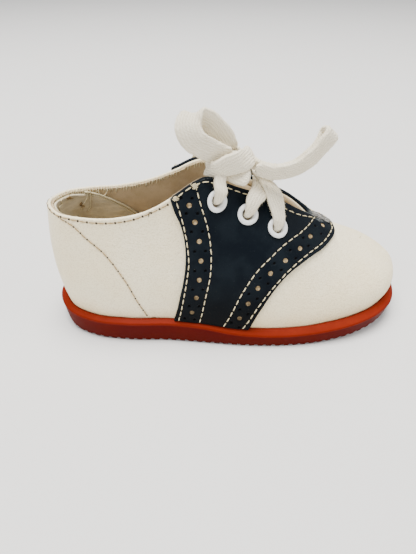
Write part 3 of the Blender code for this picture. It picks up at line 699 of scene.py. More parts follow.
def drop_unused(points, faces, values):
    """Points, faces and values without the points that no face uses."""
    used = np.unique(np.concatenate([np.array(face) for face in faces]))
    number = np.full(len(points), -1)
    number[used] = np.arange(len(used))
    faces = [number[np.array(face)].tolist() for face in faces]
    return points[used], faces, {key: numbers[used] for key, numbers in values.items()}


def ring_shell(name, shares, skin, sheets, look, values, outer=0):
    """Piece from two sheets all round the shoe, joined at the rim, the foot and the eyelets.

    The skin is the grid of places on the upper's outer face, and outer is the outside sheet's number.
    """
    index = ring_index(shares, skin.shape[1])
    numbers = (index, index + index.size)
    faces = joined(numbers[outer], numbers[1 - outer], past_throat(shares), stacked(skin, skin))
    shell, faces, values = drop_unused(stacked(*sheets), faces, doubled(values))
    return make_piece(name, shell, faces, finish(look), values, True)


def rounded_rim(depth, radius):
    """How far a rim of this radius has turned in at a depth below its crest."""
    t = np.clip(depth, 0, radius)
    return radius - np.sqrt(np.maximum(radius ** 2 - (radius - t) ** 2, 0))


def section_depth(points):
    """Distance of each point below the top of its own section."""
    steps = np.linalg.norm(np.diff(points, axis=1), axis=2)
    along = np.concatenate([np.zeros((len(points), 1)), np.cumsum(steps, axis=1)], axis=1)
    return along[:, -1:] - along


def sizes():
    """Sizes that the user can change."""
    return bpy.context.scene.shoe_sizes


def chosen(name):
    """Colour that the user can change."""
    return tuple(getattr(bpy.context.scene.shoe_colours, name))


def toned(colour, red, green, blue):
    """Colour with each of its channels multiplied by a factor."""
    return colour[0] * red, colour[1] * green, colour[2] * blue


NEAR_HOLE = 2.0              # reach of the numbers kept round the punched holes
TWILL = 0.42                 # width of one rib of the lining's twill
PLY = 0.75                   # length of one turn of a thread's two plies
RIB = 0.92                   # width of one knitted rib of the lace
LOOP = 0.80                  # length of one knitted loop of the lace

# Finishes: each colour is mixed layer by layer, and each relief is a sum of noises and kept numbers


def cream_leather():
    """Grained leather: yellowed in patches and low down, with painted warm shade low down and painted shade in the
    seams' grooves, dark in its pores.
    """
    c = chosen("cream")
    f = Finish("cream_leather", c, 0.46, Specular_IOR_Level=0.42)
    grain = f.cells(0.55)
    fine = f.noise(0.30, 3.0, 0.6)
    cloud = f.noise(9.0, 3.0, 0.55)
    patch = f.noise(26.0, 2.0)
    low = f.kept("low")
    worn = (low * cloud.step(0.38, 0.70)).clamped()
    yellow = f.mixed(patch.step(0.35, 0.7) * 0.55 + worn * 0.5, c, toned(c, 0.97, 0.90, 0.76))
    # Painted shade: warmer and darker low down, near the sole.
    dull = f.mixed(low ** 2.0 * 0.45, yellow, toned(c, 0.80, 0.70, 0.52))
    # Painted shade in the grooves along the seams.
    seam = f.mixed(f.kept("seam") * 0.35, dull, toned(c, 0.62, 0.50, 0.34))
    specks = f.noise(0.8, 2.0).step(0.70, 0.78) * f.noise(14.0).step(0.5, 0.65)
    spotted = f.mixed(specks * 0.30, seam, toned(c, 0.55, 0.45, 0.33))
    pores = f.mixed(grain.step(0.05, 0.55, 0.50, 0.0), spotted, toned(c, 0.66, 0.58, 0.44))
    cross = f.streaks((0.35, 0.35, 1.6), 900.0, 2.0)
    relief = grain * 0.75 + fine * 0.30 + cross * 0.45 + f.noise(2.4, 3.0) * 0.9
    f.feed(Base_Color=pores, Roughness=f.noise(6.0, 3.0).step(0.3, 0.7, 0.40, 0.54))
    return f.feed(Normal=f.bump(relief, 0.20, 0.9))


def navy_leather():
    """Dark leather: scuffed where it is worn, painted black low down as shade, with sunk punched holes whose insides
    carry painted shade.
    """
    c = chosen("navy")
    f = Finish("navy_leather", c, 0.50, Specular_IOR_Level=0.05)
    grain = f.cells(0.50)
    fine = f.noise(0.28, 3.0, 0.6)
    cloud = f.noise(7.0, 3.0, 0.55)
    wear = f.kept("wear")
    marks = (("hole", NEAR_HOLE - sizes().big_hole, 0.07), ("pin", NEAR_HOLE - sizes().pin_hole, 0.09))
    hole, pin = (f.kept(key).step(edge - blur, edge + blur) for key, edge, blur in marks)
    base = f.mixed(cloud.step(0.35, 0.7), c, toned(c, 1.7, 1.65, 1.5))
    scuff = (wear * 1.15 - f.noise(0.9, 4.0, 0.65) * 0.85).step(0.10, 0.45)
    scuffed = f.mixed(scuff * 0.65, base, (0.16, 0.17, 0.17))
    flecks = f.noise(0.7, 2.0).step(0.72, 0.78) * 0.20
    flecked = f.mixed(flecks, scuffed, (0.07, 0.08, 0.09))
    # Painted shade: the small punched holes darkened to near black.
    pinned = f.mixed(pin, flecked, (0.0012, 0.0012, 0.0016))
    # The large holes' floors: the cream leather beneath, its darker tan partly dirt and partly painted shade.
    floor_tone = f.mixed(f.noise(0.8, 3.0).step(0.35, 0.65), (0.52, 0.39, 0.22), (0.22, 0.155, 0.08))
    low = f.kept("low")
    # Painted shade: the saddle turned black low down.
    dark = f.mixed(low * 0.75, pinned, (0.0006, 0.0006, 0.0007))
    # Painted shade: the large holes' floors darker still low down.
    shown = f.mixed(hole, dark, f.mixed(low * 0.8, floor_tone, (0.10, 0.07, 0.04)))
    relief = grain * 0.20 + fine * 0.12 + (1 - hole) * 0.9 + (1 - pin) * 0.9
    rough = (cloud.step(0.3, 0.7, 0.40, 0.54) + scuff * 0.25 + hole * 0.3).clamped()
    f.feed(Base_Color=shown, Roughness=rough)
    return f.feed(Normal=f.bump(relief, 0.30, 0.6))


def lining_cloth():
    """Twill whose ribs run aslant, blotched, with painted shade deep inside the shoe."""
    c = chosen("lining")
    f = Finish("lining_cloth", c, 0.92, Specular_IOR_Level=0.15)
    across = f.kept("around") * (TURN / TWILL)
    up = f.kept("up") * (TURN / TWILL)
    twill = (across + up).sine() * 0.5 + 0.5
    weft = (across - up * 0.35).sine() * 0.5 + 0.5
    nap = f.noise(0.35, 4.0, 0.7)
    blotch = f.noise(8.0, 4.0, 0.6)
    tone = f.mixed(blotch.step(0.3, 0.7), c, toned(c, 0.66, 0.63, 0.58))
    woven = f.mixed((twill * 0.5 + nap * 0.5).step(0.2, 0.8) * 0.45, tone, toned(c, 1.35, 1.33, 1.3))
    # Painted shade: darker where the cloth lies deep inside the shoe.
    dirt_and_shade = f.mixed(f.kept("deep") * 0.6, woven, toned(c, 0.42, 0.40, 0.36))
    f.feed(Base_Color=dirt_and_shade)
    return f.feed(Normal=f.bump(twill * 0.4 + weft * 0.25 + nap * 0.6, 0.16, 0.8))


def heel_cloth():
    """Smooth heel lining, paler partly as its own cloth and partly as painted light; blotched, finely wrinkled, with
    painted highlights on the wrinkles.
    """
    # Paler than the lining: part the heel cloth's own tone, part painted light.
    c = toned(chosen("lining"), 1.24, 1.40, 1.60)
    f = Finish("heel_cloth", c, 0.85, Specular_IOR_Level=0.2)
    wrinkle = f.streaks((0.45, 0.45, 2.2), 420.0, 3.0)
    blotch = f.noise(7.0, 4.0, 0.6)
    tone = f.mixed(blotch.step(0.3, 0.7), c, toned(c, 0.72, 0.70, 0.66))
    # Painted highlight on the wrinkles' crests.
    lit = f.mixed(wrinkle.step(0.45, 0.75) * 0.4, tone, toned(c, 1.25, 1.25, 1.2))
    f.feed(Base_Color=lit)
    return f.feed(Normal=f.bump(wrinkle + f.noise(0.3, 3.0) * 0.35, 0.22, 0.7))


def thread(name, colour, shade):
    """Spun thread: two plies that wind round each other, the shade a factor for the grooves' colour."""
    f = Finish(name, colour, 0.78, Specular_IOR_Level=0.25)
    ply = (f.kept("along") * (TURN / PLY) + f.kept("around") * 2 * math.pi).sine() * 0.5 + 0.5
    fibre = f.noise(0.12, 2.0)
    dark = toned(colour, shade, shade, shade)
    dirt_and_shade = f.mixed(f.noise(5.0, 2.0).step(0.4, 0.7) * 0.35, colour, dark)
    # Painted shade in the grooves between the two plies.
    f.feed(Base_Color=f.mixed((1 - ply) * 0.45, dirt_and_shade, dark))
    return f.feed(Normal=f.bump(ply * 0.8 + fibre * 0.3, 0.10, 0.7))


def cotton():
    """Knitted lace: soft ribs run along it and lean a little, with fine loops across them."""
    c = chosen("lace")
    f = Finish("cotton", c, 0.95, Specular_IOR_Level=0.12, Sheen_Weight=0.25, Sheen_Roughness=0.6)
    across = f.kept("across")
    along = f.kept("along")
    rib = ((across + along * 0.10 + f.noise(5.0, 2.0) * 1.2) * (TURN / RIB)).sine()
    loop = ((along * 1.0 + across * 0.7) * (TURN / LOOP)).sine()
    nap = f.noise(0.22, 4.0, 0.7)
    soft = f.noise(1.6, 3.0, 0.6)
    weave = rib * 0.34 + loop * 0.16 + 0.5
    shade = f.mixed((1 - weave) * 0.50, c, toned(c, 0.70, 0.64, 0.54))
    tone = f.mixed(soft.step(0.35, 0.7) * 0.35, shade, toned(c, 0.90, 0.87, 0.80))
    f.feed(Base_Color=tone)
    return f.feed(Normal=f.bump(weave * 0.75 + nap * 0.7 + soft * 0.7, 0.34, 0.9))


def fuzz():
    """Loose cotton fibres, a little uneven in colour."""
    c = chosen("lace")
    f = Finish("fuzz", c, 0.95, Specular_IOR_Level=0.05)
    return f.feed(Base_Color=f.mixed(f.noise(1.5), c, toned(c, 0.9, 0.9, 0.9)))


def enamel():
    """Glossy enamel, dull in patches."""
    c = chosen("enamel")
    f = Finish("enamel", c, 0.30, Coat_Weight=0.3)
    wornout = f.noise(0.7, 3.0, 0.6)
    tone = f.mixed(wornout.step(0.50, 0.72) * 0.35, c, toned(c, 0.70, 0.70, 0.68))
    f.feed(Base_Color=tone, Roughness=wornout.step(0.3, 0.7, 0.24, 0.42))
    return f.feed(Normal=f.bump(f.noise(0.8, 2.0), 0.05, 0.5))


def rubber():
    """Red rubber: its wall painted darker than its ledge as shade, dusty, darker underneath as painted shade, and
    streaked.
    """
    c = chosen("rubber")
    f = Finish("rubber", c, 0.56, Specular_IOR_Level=0.05)
    cloud = f.noise(12.0, 3.0, 0.55)
    mottle = f.noise(1.6, 4.0, 0.65)
    # Painted shade: the upright wall much darker than the ledge, as light falls from above.
    wall = f.mixed(f.kept("ledge"), toned(c, 0.40, 0.06, 0.08), c)
    tone = f.mixed(cloud.step(0.35, 0.7) * 0.35, wall, toned(c, 0.62, 0.60, 0.60))
    dusty = f.mixed(mottle.step(0.52, 0.75) * f.kept("ledge") * 0.30, tone, toned(c, 1.15, 1.7, 1.6))
    # Painted shade: darker down the wall and under the tread, mottled.
    under = f.mixed(f.kept("under") * mottle.step(0.3, 0.6, 0.35, 0.85), dusty, toned(c, 0.34, 0.5, 0.5))
    streak = f.streaks((1.0, 1.0, 9.0), 160.0, 3.0)
    marked = f.mixed(streak.step(0.62, 0.76) * 0.25, under, toned(c, 0.45, 0.5, 0.5))
    f.feed(Base_Color=marked, Roughness=cloud.step(0.3, 0.7, 0.48, 0.62))
    return f.feed(Normal=f.bump(mottle * 0.5 + streak * 0.4, 0.07, 0.6))


def dark_hole():
    """Raw leather in the shadow of a hole."""
    f = Finish("dark_hole", (0.035, 0.024, 0.014), 0.9)
    return f.feed(Base_Color=f.mixed(f.noise(0.5), (0.020, 0.014, 0.009), (0.075, 0.050, 0.028)))


def studio_floor():
    """Pale matt floor."""
    c = chosen("floor")
    f = Finish("floor", c, 0.9, Specular_IOR_Level=0.1)
    return f.feed(Base_Color=f.mixed(f.noise(60.0, 3.0), c, toned(c, 0.97, 0.97, 0.97)))


FINISHES = {
    "cream_leather": cream_leather,
    "navy_leather": navy_leather,
    "lining_cloth": lining_cloth,
    "heel_cloth": heel_cloth,
    "cotton": cotton,
    "fuzz": fuzz,
    "enamel": enamel,
    "rubber": rubber,
    "dark_hole": dark_hole,
    "cream_thread": lambda: thread("cream_thread", chosen("cream_thread"), 0.6),
    "tan_thread": lambda: thread("tan_thread", chosen("tan_thread"), 0.45),
    "grey_thread": lambda: thread("grey_thread", (0.40, 0.39, 0.36), 0.35),
    "floor": studio_floor,
}


def finish(name):
    """Material by name, made when it is first asked for."""
    return bpy.data.materials.get("shoe_" + name) or FINISHES[name]()




class ShoeSizes(bpy.types.PropertyGroup):
    """Sizes, in millimetres, that a user would change."""

    stitch_pitch: FloatProperty(name="Stitch pitch", description="Length of one stitch and its gap", default=2.62,
                                min=1.5, max=6.0)
    collar_pitch: FloatProperty(name="Collar pitch", description="Length of one stitch of the upper's rows",
                                default=2.95, min=1.5, max=6.0)
    thread_width: FloatProperty(name="Thread width", description="Width of the thread on the saddle", default=0.40,
                                min=0.2, max=1.2)
    big_hole: FloatProperty(name="Large hole", description="Radius of the large punched holes", default=0.80,
                            min=0.4, max=1.6)
    pin_hole: FloatProperty(name="Small hole", description="Radius of the small punched holes", default=0.46,
                            min=0.2, max=0.8)
    lace_width: FloatProperty(name="Lace width", description="Width of the lace where it lies open", default=6.0,
                              min=3.0, max=9.0)


class ShoeColours(bpy.types.PropertyGroup):
    """Colours that a user would change."""

    cream: FloatVectorProperty(name="Cream leather", description="Leather of the upper", subtype="COLOR",
                               default=(0.95, 0.85, 0.61), min=0, max=1)
    navy: FloatVectorProperty(name="Navy leather", description="Leather of the saddle", subtype="COLOR",
                              default=(0.0038, 0.0060, 0.0090), min=0, max=1)
    lining: FloatVectorProperty(name="Lining", description="Cloth inside the shoe", subtype="COLOR",
                                default=(0.58, 0.455, 0.285), min=0, max=1)
    rubber: FloatVectorProperty(name="Rubber", description="Rubber of the sole", subtype="COLOR",
                                default=(0.185, 0.014, 0.0038), min=0, max=1)
    enamel: FloatVectorProperty(name="Enamel", description="Enamel on the eyelets", subtype="COLOR",
                                default=(0.82, 0.83, 0.83), min=0, max=1)
    lace: FloatVectorProperty(name="Lace", description="Cotton of the lace", subtype="COLOR",
                              default=(0.93, 0.86, 0.69), min=0, max=1)
    cream_thread: FloatVectorProperty(name="Saddle thread", description="Thread on the saddle", subtype="COLOR",
                                      default=(0.74, 0.64, 0.40), min=0, max=1)
    tan_thread: FloatVectorProperty(name="Upper thread", description="Thread on the upper", subtype="COLOR",
                                    default=(0.36, 0.235, 0.10), min=0, max=1)
    floor: FloatVectorProperty(name="Floor", description="Floor of the studio", subtype="COLOR",
                               default=(0.74, 0.73, 0.71), min=0, max=1)


# Camera, as the photograph sees the shoe
CAMERA_TURN = 4.0                        # degrees from +Y toward +X that the camera looks
CAMERA_DIP = 38.0                        # degrees below level
CAMERA_PLACE = (-17.49, -133.10, 115.51)
SENSOR = 36.0                            # along the frame's taller side
CAMERA_LENS = 28.0
STUDIO_LIGHTS = (  # name, place in metres, size, power, colour
    ("key_light", (-0.10, 0.10, 1.15), 0.8, 33.5, (1.0, 0.985, 0.96)),
    ("fill_light", (-0.70, -0.95, 0.55), 1.0, 6.0, (1.0, 0.99, 0.98)),
    ("side_light", (0.95, -0.20, 0.60), 0.7, 4.0, (1.0, 0.98, 0.95)),
)
FLOOR_RADIUS = 6.0
FLOOR_SIDES = 96
WORLD_COLOUR = (0.93, 0.95, 1.0, 1.0)
WORLD_STRENGTH = 0.64


def camera_axes(turn, dip):
    """Right, up and forward of a camera by how far it is turned and dipped, in degrees."""
    turn, dip = math.radians(turn), math.radians(dip)
    level = np.array([math.sin(turn), math.cos(turn), 0.0])
    right = np.array([math.cos(turn), -math.sin(turn), 0.0])
    rise = np.array([0.0, 0.0, 1.0])
    return right, level * math.sin(dip) + rise * math.cos(dip), level * math.cos(dip) - rise * math.sin(dip)


class SHOE_OT_stage(bpy.types.Operator):
    """Camera at the photograph's angle, pale floor and soft studio light"""
    bl_idname = "shoe.stage"
    bl_label = "Studio"

    def execute(self, context):
        """Makes the camera, the floor, the world and the lights."""
        scene = context.scene
        lens = bpy.data.cameras.new("photo_camera")
        lens.sensor_width = SENSOR
        lens.lens = CAMERA_LENS
        lens.clip_start = 0.005
        camera = bpy.data.objects.new("photo_camera", lens)
        right, up, ahead = camera_axes(CAMERA_TURN, CAMERA_DIP)
        turn = Matrix(np.column_stack([right, up, -ahead]).tolist()).to_4x4()
        camera.matrix_world = Matrix.Translation([v * MM for v in CAMERA_PLACE]) @ turn
        scene.collection.objects.link(camera)
        scene.camera = camera

        angle = turns(FLOOR_SIDES)
        rim = np.stack([np.cos(angle), np.sin(angle), np.zeros(FLOOR_SIDES)], axis=1) * FLOOR_RADIUS
        mesh = bpy.data.meshes.new("studio_floor")
        mesh.from_pydata(rim.tolist(), [], [list(range(FLOOR_SIDES))])
        mesh.materials.append(finish("floor"))
        floor = bpy.data.objects.new("studio_floor", mesh)
        scene.collection.objects.link(floor)

        world = bpy.data.worlds.new("studio")
        world.use_nodes = True
        sky = world.node_tree.nodes["Background"].inputs
        sky["Color"].default_value = WORLD_COLOUR
        sky["Strength"].default_value = WORLD_STRENGTH
        scene.world = world
        for name, place, size, power, colour in STUDIO_LIGHTS:
            light = bpy.data.lights.new(name, "AREA")
            light.shape = "DISK"
            light.size = size
            light.energy = power
            light.color = colour
            lamp = bpy.data.objects.new(name, light)
            lamp.location = place
            lamp.rotation_euler = (-Vector(place)).to_track_quat("-Z", "Y").to_euler()
            scene.collection.objects.link(lamp)
        return {"FINISHED"}


EYELET_OPENING = 2.45        # radius of the hole that each layer of leather and cloth has round an eyelet
RIM_THICK = 1.1              # thickness of the leather alone
SADDLE_UNDER = 0.04          # height of the saddle's under face above the skin
THROAT_END = np.array([30.8, 0.3, 36.5])
NECK_COLUMN = 84             # number of the saddle's column at the throat; those after it meet on the ridge
PIN_REACH = 1.7              # of a small hole from the middle of its band
SADDLE_ROWS = (REAR_OUTER_ROW, REAR_INNER_ROW, FRONT_INNER_ROW, FRONT_OUTER_ROW)
SIDE_NAMES = ((LATERAL, "lateral"), (MEDIAL, "medial"))


def punched(outer, inner, points, centres):
    """Two sheets' quads without those near an eyelet, and the walls that join the sheets round each hole."""
    middle = points[outer].mean(axis=1)
    gone = (np.linalg.norm(middle[:, None] - centres[None], axis=2) < EYELET_OPENING).any(axis=1)
    edges = np.concatenate([outer[gone][:, [k, (k + 1) % 4]] for k in range(4)])
    partner = dict(zip(outer[gone].ravel().tolist(), inner[gone].ravel().tolist()))
    present = {tuple(edge) for edge in edges.tolist()}
    walls = [(a, b, partner[b], partner[a]) for a, b in sorted(present) if (b, a) not in present]
    return outer[~gone], inner[~gone][:, ::-1], np.array(walls)


def eyelet_centres(side=None):
    """Middles of the eyelets on the skin, of one side or of both."""
    sides = (side,) if side else (LATERAL, MEDIAL)
    return np.array([on_skin(side, *place) for side in sides for place in EYELETS.values()])


def skin_waves(points):
    """Slow rise and fall of the leather over its last, in millimetres."""
    return soft_waves(points, 26.0, 3) * 0.10 + soft_waves(points, 11.0, 8) * 0.05


def upper_relief(points, shares, depth):
    """Rise of the leather over its skin, and each point's distance to the nearest seam.

    It is the slow waves, less the creases and the grooves under the seams, plus the collar's soft roll.
    """
    relief = skin_waves(points)
    for side, places, width, low in CREASES:
        places = np.array(places)
        line = even_line(on_skin(side, places[:, 0], places[:, 1]), 60)
        relief -= low * bell(distance_to(points, line), width)
    seams = np.full(depth.shape, 1e9)
    for side in (LATERAL, MEDIAL):
        for rows in (COLLAR_ROW, COUNTER_ROW):
            line = row_line(rows, side, 0.0, share_first=True)[2]
            seams = np.minimum(seams, distance_to(points, line))
    relief -= 0.13 * bell(seams, 0.7)
    collar = (shares < 0.37)[:, None] * faded(np.abs(depth - 1.4), 1.6)
    return relief + 0.12 * collar, seams


class SHOE_OT_upper(bpy.types.Operator):
    """White leather upper: outer face with its creases and grain, rolled rim and turned-in edge"""
    bl_idname = "shoe.upper"
    bl_label = "Leather upper"

    def execute(self, context):
        """Makes the leather; a tucked-in foot and a small lift at the counter's seam end it below."""
        heights = np.concatenate([np.linspace(0, 0.92, 62), np.linspace(0.92, 1, 17)[1:]])
        shares, points, normals = ring_sheet(150, 112, heights)
        depth = section_depth(points)
        ahead = past_throat(shares)[:, None]
        relief, seams = upper_relief(points, shares, depth)
        foot_lift = 0.5 * faded(np.abs(shares - 0.288) / 0.010, 1.0)[:, None] * faded(depth * 0 + heights, 0.04)
        rim = np.where(ahead, 0.0, rounded_rim(depth, RIM_THICK / 2))
        fade = np.where(ahead, 1.0, np.clip(depth / 0.6, 0, 1))
        outer = points + normals * (relief * fade - rim)[..., None]
        outer[:, 0, 2] -= 0.35
        outer[..., 2] += foot_lift
        inside = np.where(ahead, RIM_THICK, RIM_THICK - rim)
        inner = points - normals * inside[..., None]
        # low and seam carry the leather's painted shade low down and in the seams' grooves; low also places its
        # yellowing.
        low = faded(np.maximum(points[..., 2] - 8.0, 0), 9.0)
        values = {"low": low, "seam": faded(seams, 0.9) * (fade > 0.99)}
        piece = ring_shell("upper_leather", shares, points, (outer, inner), "cream_leather", values)
        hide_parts("upper")
        return {"FINISHED"}


class SHOE_OT_lining(bpy.types.Operator):
    """Cloth lining inside the upper, with a smoother heel piece and its piped edge"""
    bl_idname = "shoe.lining"
    bl_label = "Lining"

    def execute(self, context):
        """Makes the lining, whose top edge is ragged, and the heel's second layer."""
        heights = np.concatenate([np.linspace(0, 0.9, 30), np.linspace(0.9, 1, 9)[1:]])
        shares, points, normals = ring_sheet(110, 50, heights)
        depth = section_depth(points)
        ragged = 0.55 + soft_waves(points, 2.4, 12) * 0.35
        sunk = np.where(past_throat(shares)[:, None], 0.0, np.maximum(ragged - depth, 0.0))
        along = arc_lengths(points[:, len(heights) // 2])
        place = points - np.array([0, 0, 1.0]) * sunk[..., None]
        wave = soft_waves(points, 9.0, 5) * 0.10
        sheets = [place - normals * (offset + wave)[..., None] for offset in (RIM_THICK + 0.75, RIM_THICK + 0.05)]
        # deep: how far below the rim, for the lining's painted shade.
        deep = np.clip((depth - 18) / 22, 0, 1)
        values = {"around": np.broadcast_to(along[:, None], depth.shape), "up": depth, "deep": deep}
        ring_shell("lining", shares, points, sheets, "lining_cloth", values, outer=1)
        self.heel_piece()
        return {"FINISHED"}

    def heel_piece(self):
        """Second layer round the heel, from the rim down to a curved edge with piping along it."""
        heights = np.linspace(0, 1, 60)
        edge = np.array(HEEL_PIPING)
        limit = smooth(edge[::-1, 1], edge[::-1, 0], heights)
        across = np.linspace(-1, 1, 121)
        places = [(LATERAL if u < 0 else MEDIAL, np.abs(u) * limit, heights) for u in across]
        points = np.array([upper_skin(*place) for place in places])
        normals = np.array([skin_normal(*place) for place in places])
        points[..., 2] -= 1.1 * faded(1 - heights, 0.1)
        thick = 0.55 * np.minimum(1, (1 - np.abs(across)) * 14)[:, None]
        wave = soft_waves(points, 7.0, 21) * 0.12 + soft_waves(points * [1, 1, 2.4], 4.0, 22) * 0.05
        inner = points - normals * (RIM_THICK + 0.90 + thick + wave)[..., None]
        outer = points - normals * (RIM_THICK + 0.60)
        closed_sheet("heel_lining", inner, outer, "heel_cloth", {})
        for side, side_name in SIDE_NAMES:
            share, height, line = row_line(HEEL_PIPING, side, -(RIM_THICK + 1.25), 160, share_first=True)
            line = line[PIPING_START:]
            wide = skin_normal(side, share, height)[PIPING_START:]
            for k, (shift, width) in enumerate(((0.0, 0.70), (-0.95, 0.50))):
                tangent = unit(np.gradient(line, axis=0))
                beside = np.cross(tangent, wide) * shift * side
                tube(f"heel_piping_{side_name}_{k}", line + beside, wide, width, width, "cream_thread")


PIPING_START = 14            # places of the piping's 160 that are left out at the collar


def around_grid(grid):
    """Point numbers along a grid's edge, all the way round."""
    loop = np.concatenate([grid[:-1, 0], grid[-1, :-1], grid[:0:-1, -1], grid[0, :0:-1]])
    return np.append(loop, loop[0])


def closed_sheet(name, front, back, look, values):
    """Cloth from a grid of front points and one of back points, closed by a rim all round."""
    index = np.arange(front[..., 0].size).reshape(front.shape[:2])
    under = index + index.size
    rim = np.stack([around_grid(index), around_grid(under)], axis=1)
    faces = face_lists(np.concatenate([quads_between(index), quads_between(under)[:, ::-1], quads_between(rim)]))
    return make_piece(name, stacked(front, back), faces, finish(look), doubled(values), True)


def closed_tube(name, line, points, values, look):
    """Piece from a swept line's points, with a middle point at each end that its fan meets."""
    values = {key: np.ravel(numbers) for key, numbers in values.items()}
    values = {key: np.append(numbers, [numbers[0], numbers[-1]]) for key, numbers in values.items()}
    shell = np.concatenate([points.reshape(-1, 3), line[:1], line[-1:]])
    return make_piece(name, shell, tube_faces(*points.shape[:2]), finish(look), values, True)


def tube(name, line, wide, widths, thicks, look, sides=12, power=0.9, extra=None):
    """Closed tube along a line, with its length and the way round it kept for the material."""
    count = len(line)
    widths = np.broadcast_to(np.asarray(widths, float), (count,))
    thicks = np.broadcast_to(np.asarray(thicks, float), (count,))
    points, angle = sweep(line, wide, widths, thicks, sides, power)
    along = np.broadcast_to(arc_lengths(line)[:, None], (count, sides))
    around = np.broadcast_to(angle / TURN, (count, sides))
    across = np.cos(angle)[None] * widths[:, None] / 2
    values = {"along": along, "around": around, "across": across, **(extra or {})}
    return closed_tube(name, line, points, values, look)


class SHOE_OT_saddle(bpy.types.Operator):
    """Navy saddle with its punched holes, cut edges and worn places"""
    bl_idname = "shoe.saddle"
    bl_label = "Saddle"

    def execute(self, context):
        """Makes both halves as one mesh, joined along the vamp's ridge, and the flaps' bindings."""
        heights = np.linspace(0, 1, 150)
        shares = saddle_columns(heights)
        skins, fronts, backs, marks = [], [], [], []
        for side in (LATERAL, MEDIAL):
            points = upper_skin(side, shares, heights[None])
            normals = skin_normal(side, shares, heights[None])
            rise, values = saddle_relief(side, shares, points)
            skins.append(points)
            fronts.append(points + normals * rise[..., None])
            backs.append(points + normals * SADDLE_UNDER)
            marks.append(values)
        index = np.arange(2 * shares.size).reshape(2, *shares.shape)
        index[1, NECK_COLUMN:, -1] = index[0, NECK_COLUMN:, -1]
        skin = stacked(*skins * 2)
        quads = []
        for side, front in zip((LATERAL, MEDIAL), index):
            back = front + index.size
            rim = np.stack([saddle_edge(front), saddle_edge(back)], axis=1)
            quads += punched(quads_between(front), quads_between(back), skin, eyelet_centres(side))
            quads.append(quads_between(rim))
        values = {key: np.concatenate([side_marks[key].ravel() for side_marks in marks] * 2) for key in marks[0]}
        shell, faces, values = drop_unused(stacked(*fronts, *backs), face_lists(np.concatenate(quads)), values)
        piece = make_piece("saddle_leather", shell, faces, finish("navy_leather"), values, True)
        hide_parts("saddle")
        binding_line()
        return {"FINISHED"}


def saddle_edge(grid):
    """Point numbers along a half saddle's free edge: flap, rear edge, foot and front edge."""
    return np.concatenate([grid[NECK_COLUMN::-1, -1], grid[0, -2::-1], grid[1:, 0], grid[-1, 1:]])


def saddle_relief(side, shares, points):
    """Height of a half saddle above the skin, and the numbers kept for its material.

    It is the saddle's top, less its rolled edge, the grooves under its stitches, a dip round each
    eyelet and the punched holes, plus slow waves.
    """
    edge = np.minimum(distance_to(points, points[0]), distance_to(points, points[-1]))
    flap_edge = np.where((np.arange(len(shares)) < NECK_COLUMN)[:, None], section_depth(points), 1e3)
    rise = np.full(points.shape[:2], SADDLE_TOP)
    rise -= 0.50 * (1 - np.sqrt(np.clip(1 - (1 - np.clip(edge / 0.6, 0, 1)) ** 2, 0, 1)))
    rise += soft_waves(points, 15.0, 31) * 0.06
    if side == MEDIAL:
        rise -= 0.55 * faded(flap_edge, 2.6) * faded(np.maximum(0.56 - shares, 0), 0.08)
    for rows in SADDLE_ROWS:
        rise -= 0.16 * bell(distance_to(points, row_line(rows, side, 0.0)[2]), 0.5)
    flap_row = row_line(FLAP_ROW, side, 0.0, share_first=True)[2]
    rise -= 0.14 * bell(distance_to(points, flap_row), 0.5)
    rise -= 0.16 * bell(distance_to(points, eyelet_centres(side)), 3.6)
    hole, pin = (np.maximum(NEAR_HOLE - distance_to(points, places), 0) for places in punched_places(side))
    rise -= 0.60 * np.clip((hole - NEAR_HOLE + sizes().big_hole) / 0.35 + 0.6, 0, 1)
    rise -= 0.45 * np.clip((pin - NEAR_HOLE + sizes().pin_hole) / 0.30 + 0.6, 0, 1)
    scuffed = 0.9 * faded(np.linalg.norm(points - THROAT_END, axis=-1), 8.0)
    wear = (0.55 if side == LATERAL else 0.25) * faded(np.minimum(edge, flap_edge), 1.0) + scuffed
    # low feeds the saddle's painted shade low down and in its lower holes.
    low = faded(np.maximum(points[..., 2] - 9.0, 0), 20.0)
    return rise, {"hole": hole, "pin": pin, "wear": wear, "low": low}


def saddle_columns(heights):
    """Shares of the saddle's columns at each height, close together over the two punched bands."""
    rear, front = table(SADDLE_EDGES, heights).T
    rear_inner = table(REAR_INNER_ROW, heights)[..., 0] + 0.008
    front_inner = table(FRONT_INNER_ROW, heights)[..., 0] - 0.012 * (1 - heights)
    front_inner[-1] = THROAT_SHARE
    marks = [(rear, rear_inner, 42), (rear_inner, front_inner, 42), (front_inner, front, 50)]
    columns = [low + (high - low) * t for low, high, n in marks for t in np.linspace(0, 1, n + 1)[:-1, None]]
    return np.array(columns + [front])


def punched_places(side):
    """Centres of the large holes, and of the pairs of small ones between them, in both bands."""
    big, pins = [], []
    for holes in (REAR_HOLES, FRONT_HOLES):
        for height, share in holes:
            big.append(on_skin(side, share, height))
        first = np.array(holes[0]) * 1.5 - np.array(holes[1]) * 0.5
        last = np.array(holes[-1]) * 1.5 - np.array(holes[-2]) * 0.5
        middles = [first, *((np.array(holes[:-1]) + holes[1:]) / 2), last]
        for height, share in middles:
            height = np.clip(height, 0.02, 0.97)
            centre = on_skin(side, share, height)
            ahead = on_skin(side, share + 0.004, height) - centre
            along = on_skin(side, *(np.array(holes[0]) - holes[-1])[::-1] * 0.01 + (share, height)) - centre
            across = unit(np.cross(np.cross(ahead, along), along))
            pins += [centre + across * PIN_REACH, centre - across * PIN_REACH]
    return np.array(big), np.array(pins)


FLAP_BINDINGS = (  # side, its name, share where it starts, width, thickness, wear along all of it
    (LATERAL, "lateral", 0.363, 2.0, 1.0, 0.35),
    (MEDIAL, "medial", 0.44, 1.15, 0.8, 0.1),
)


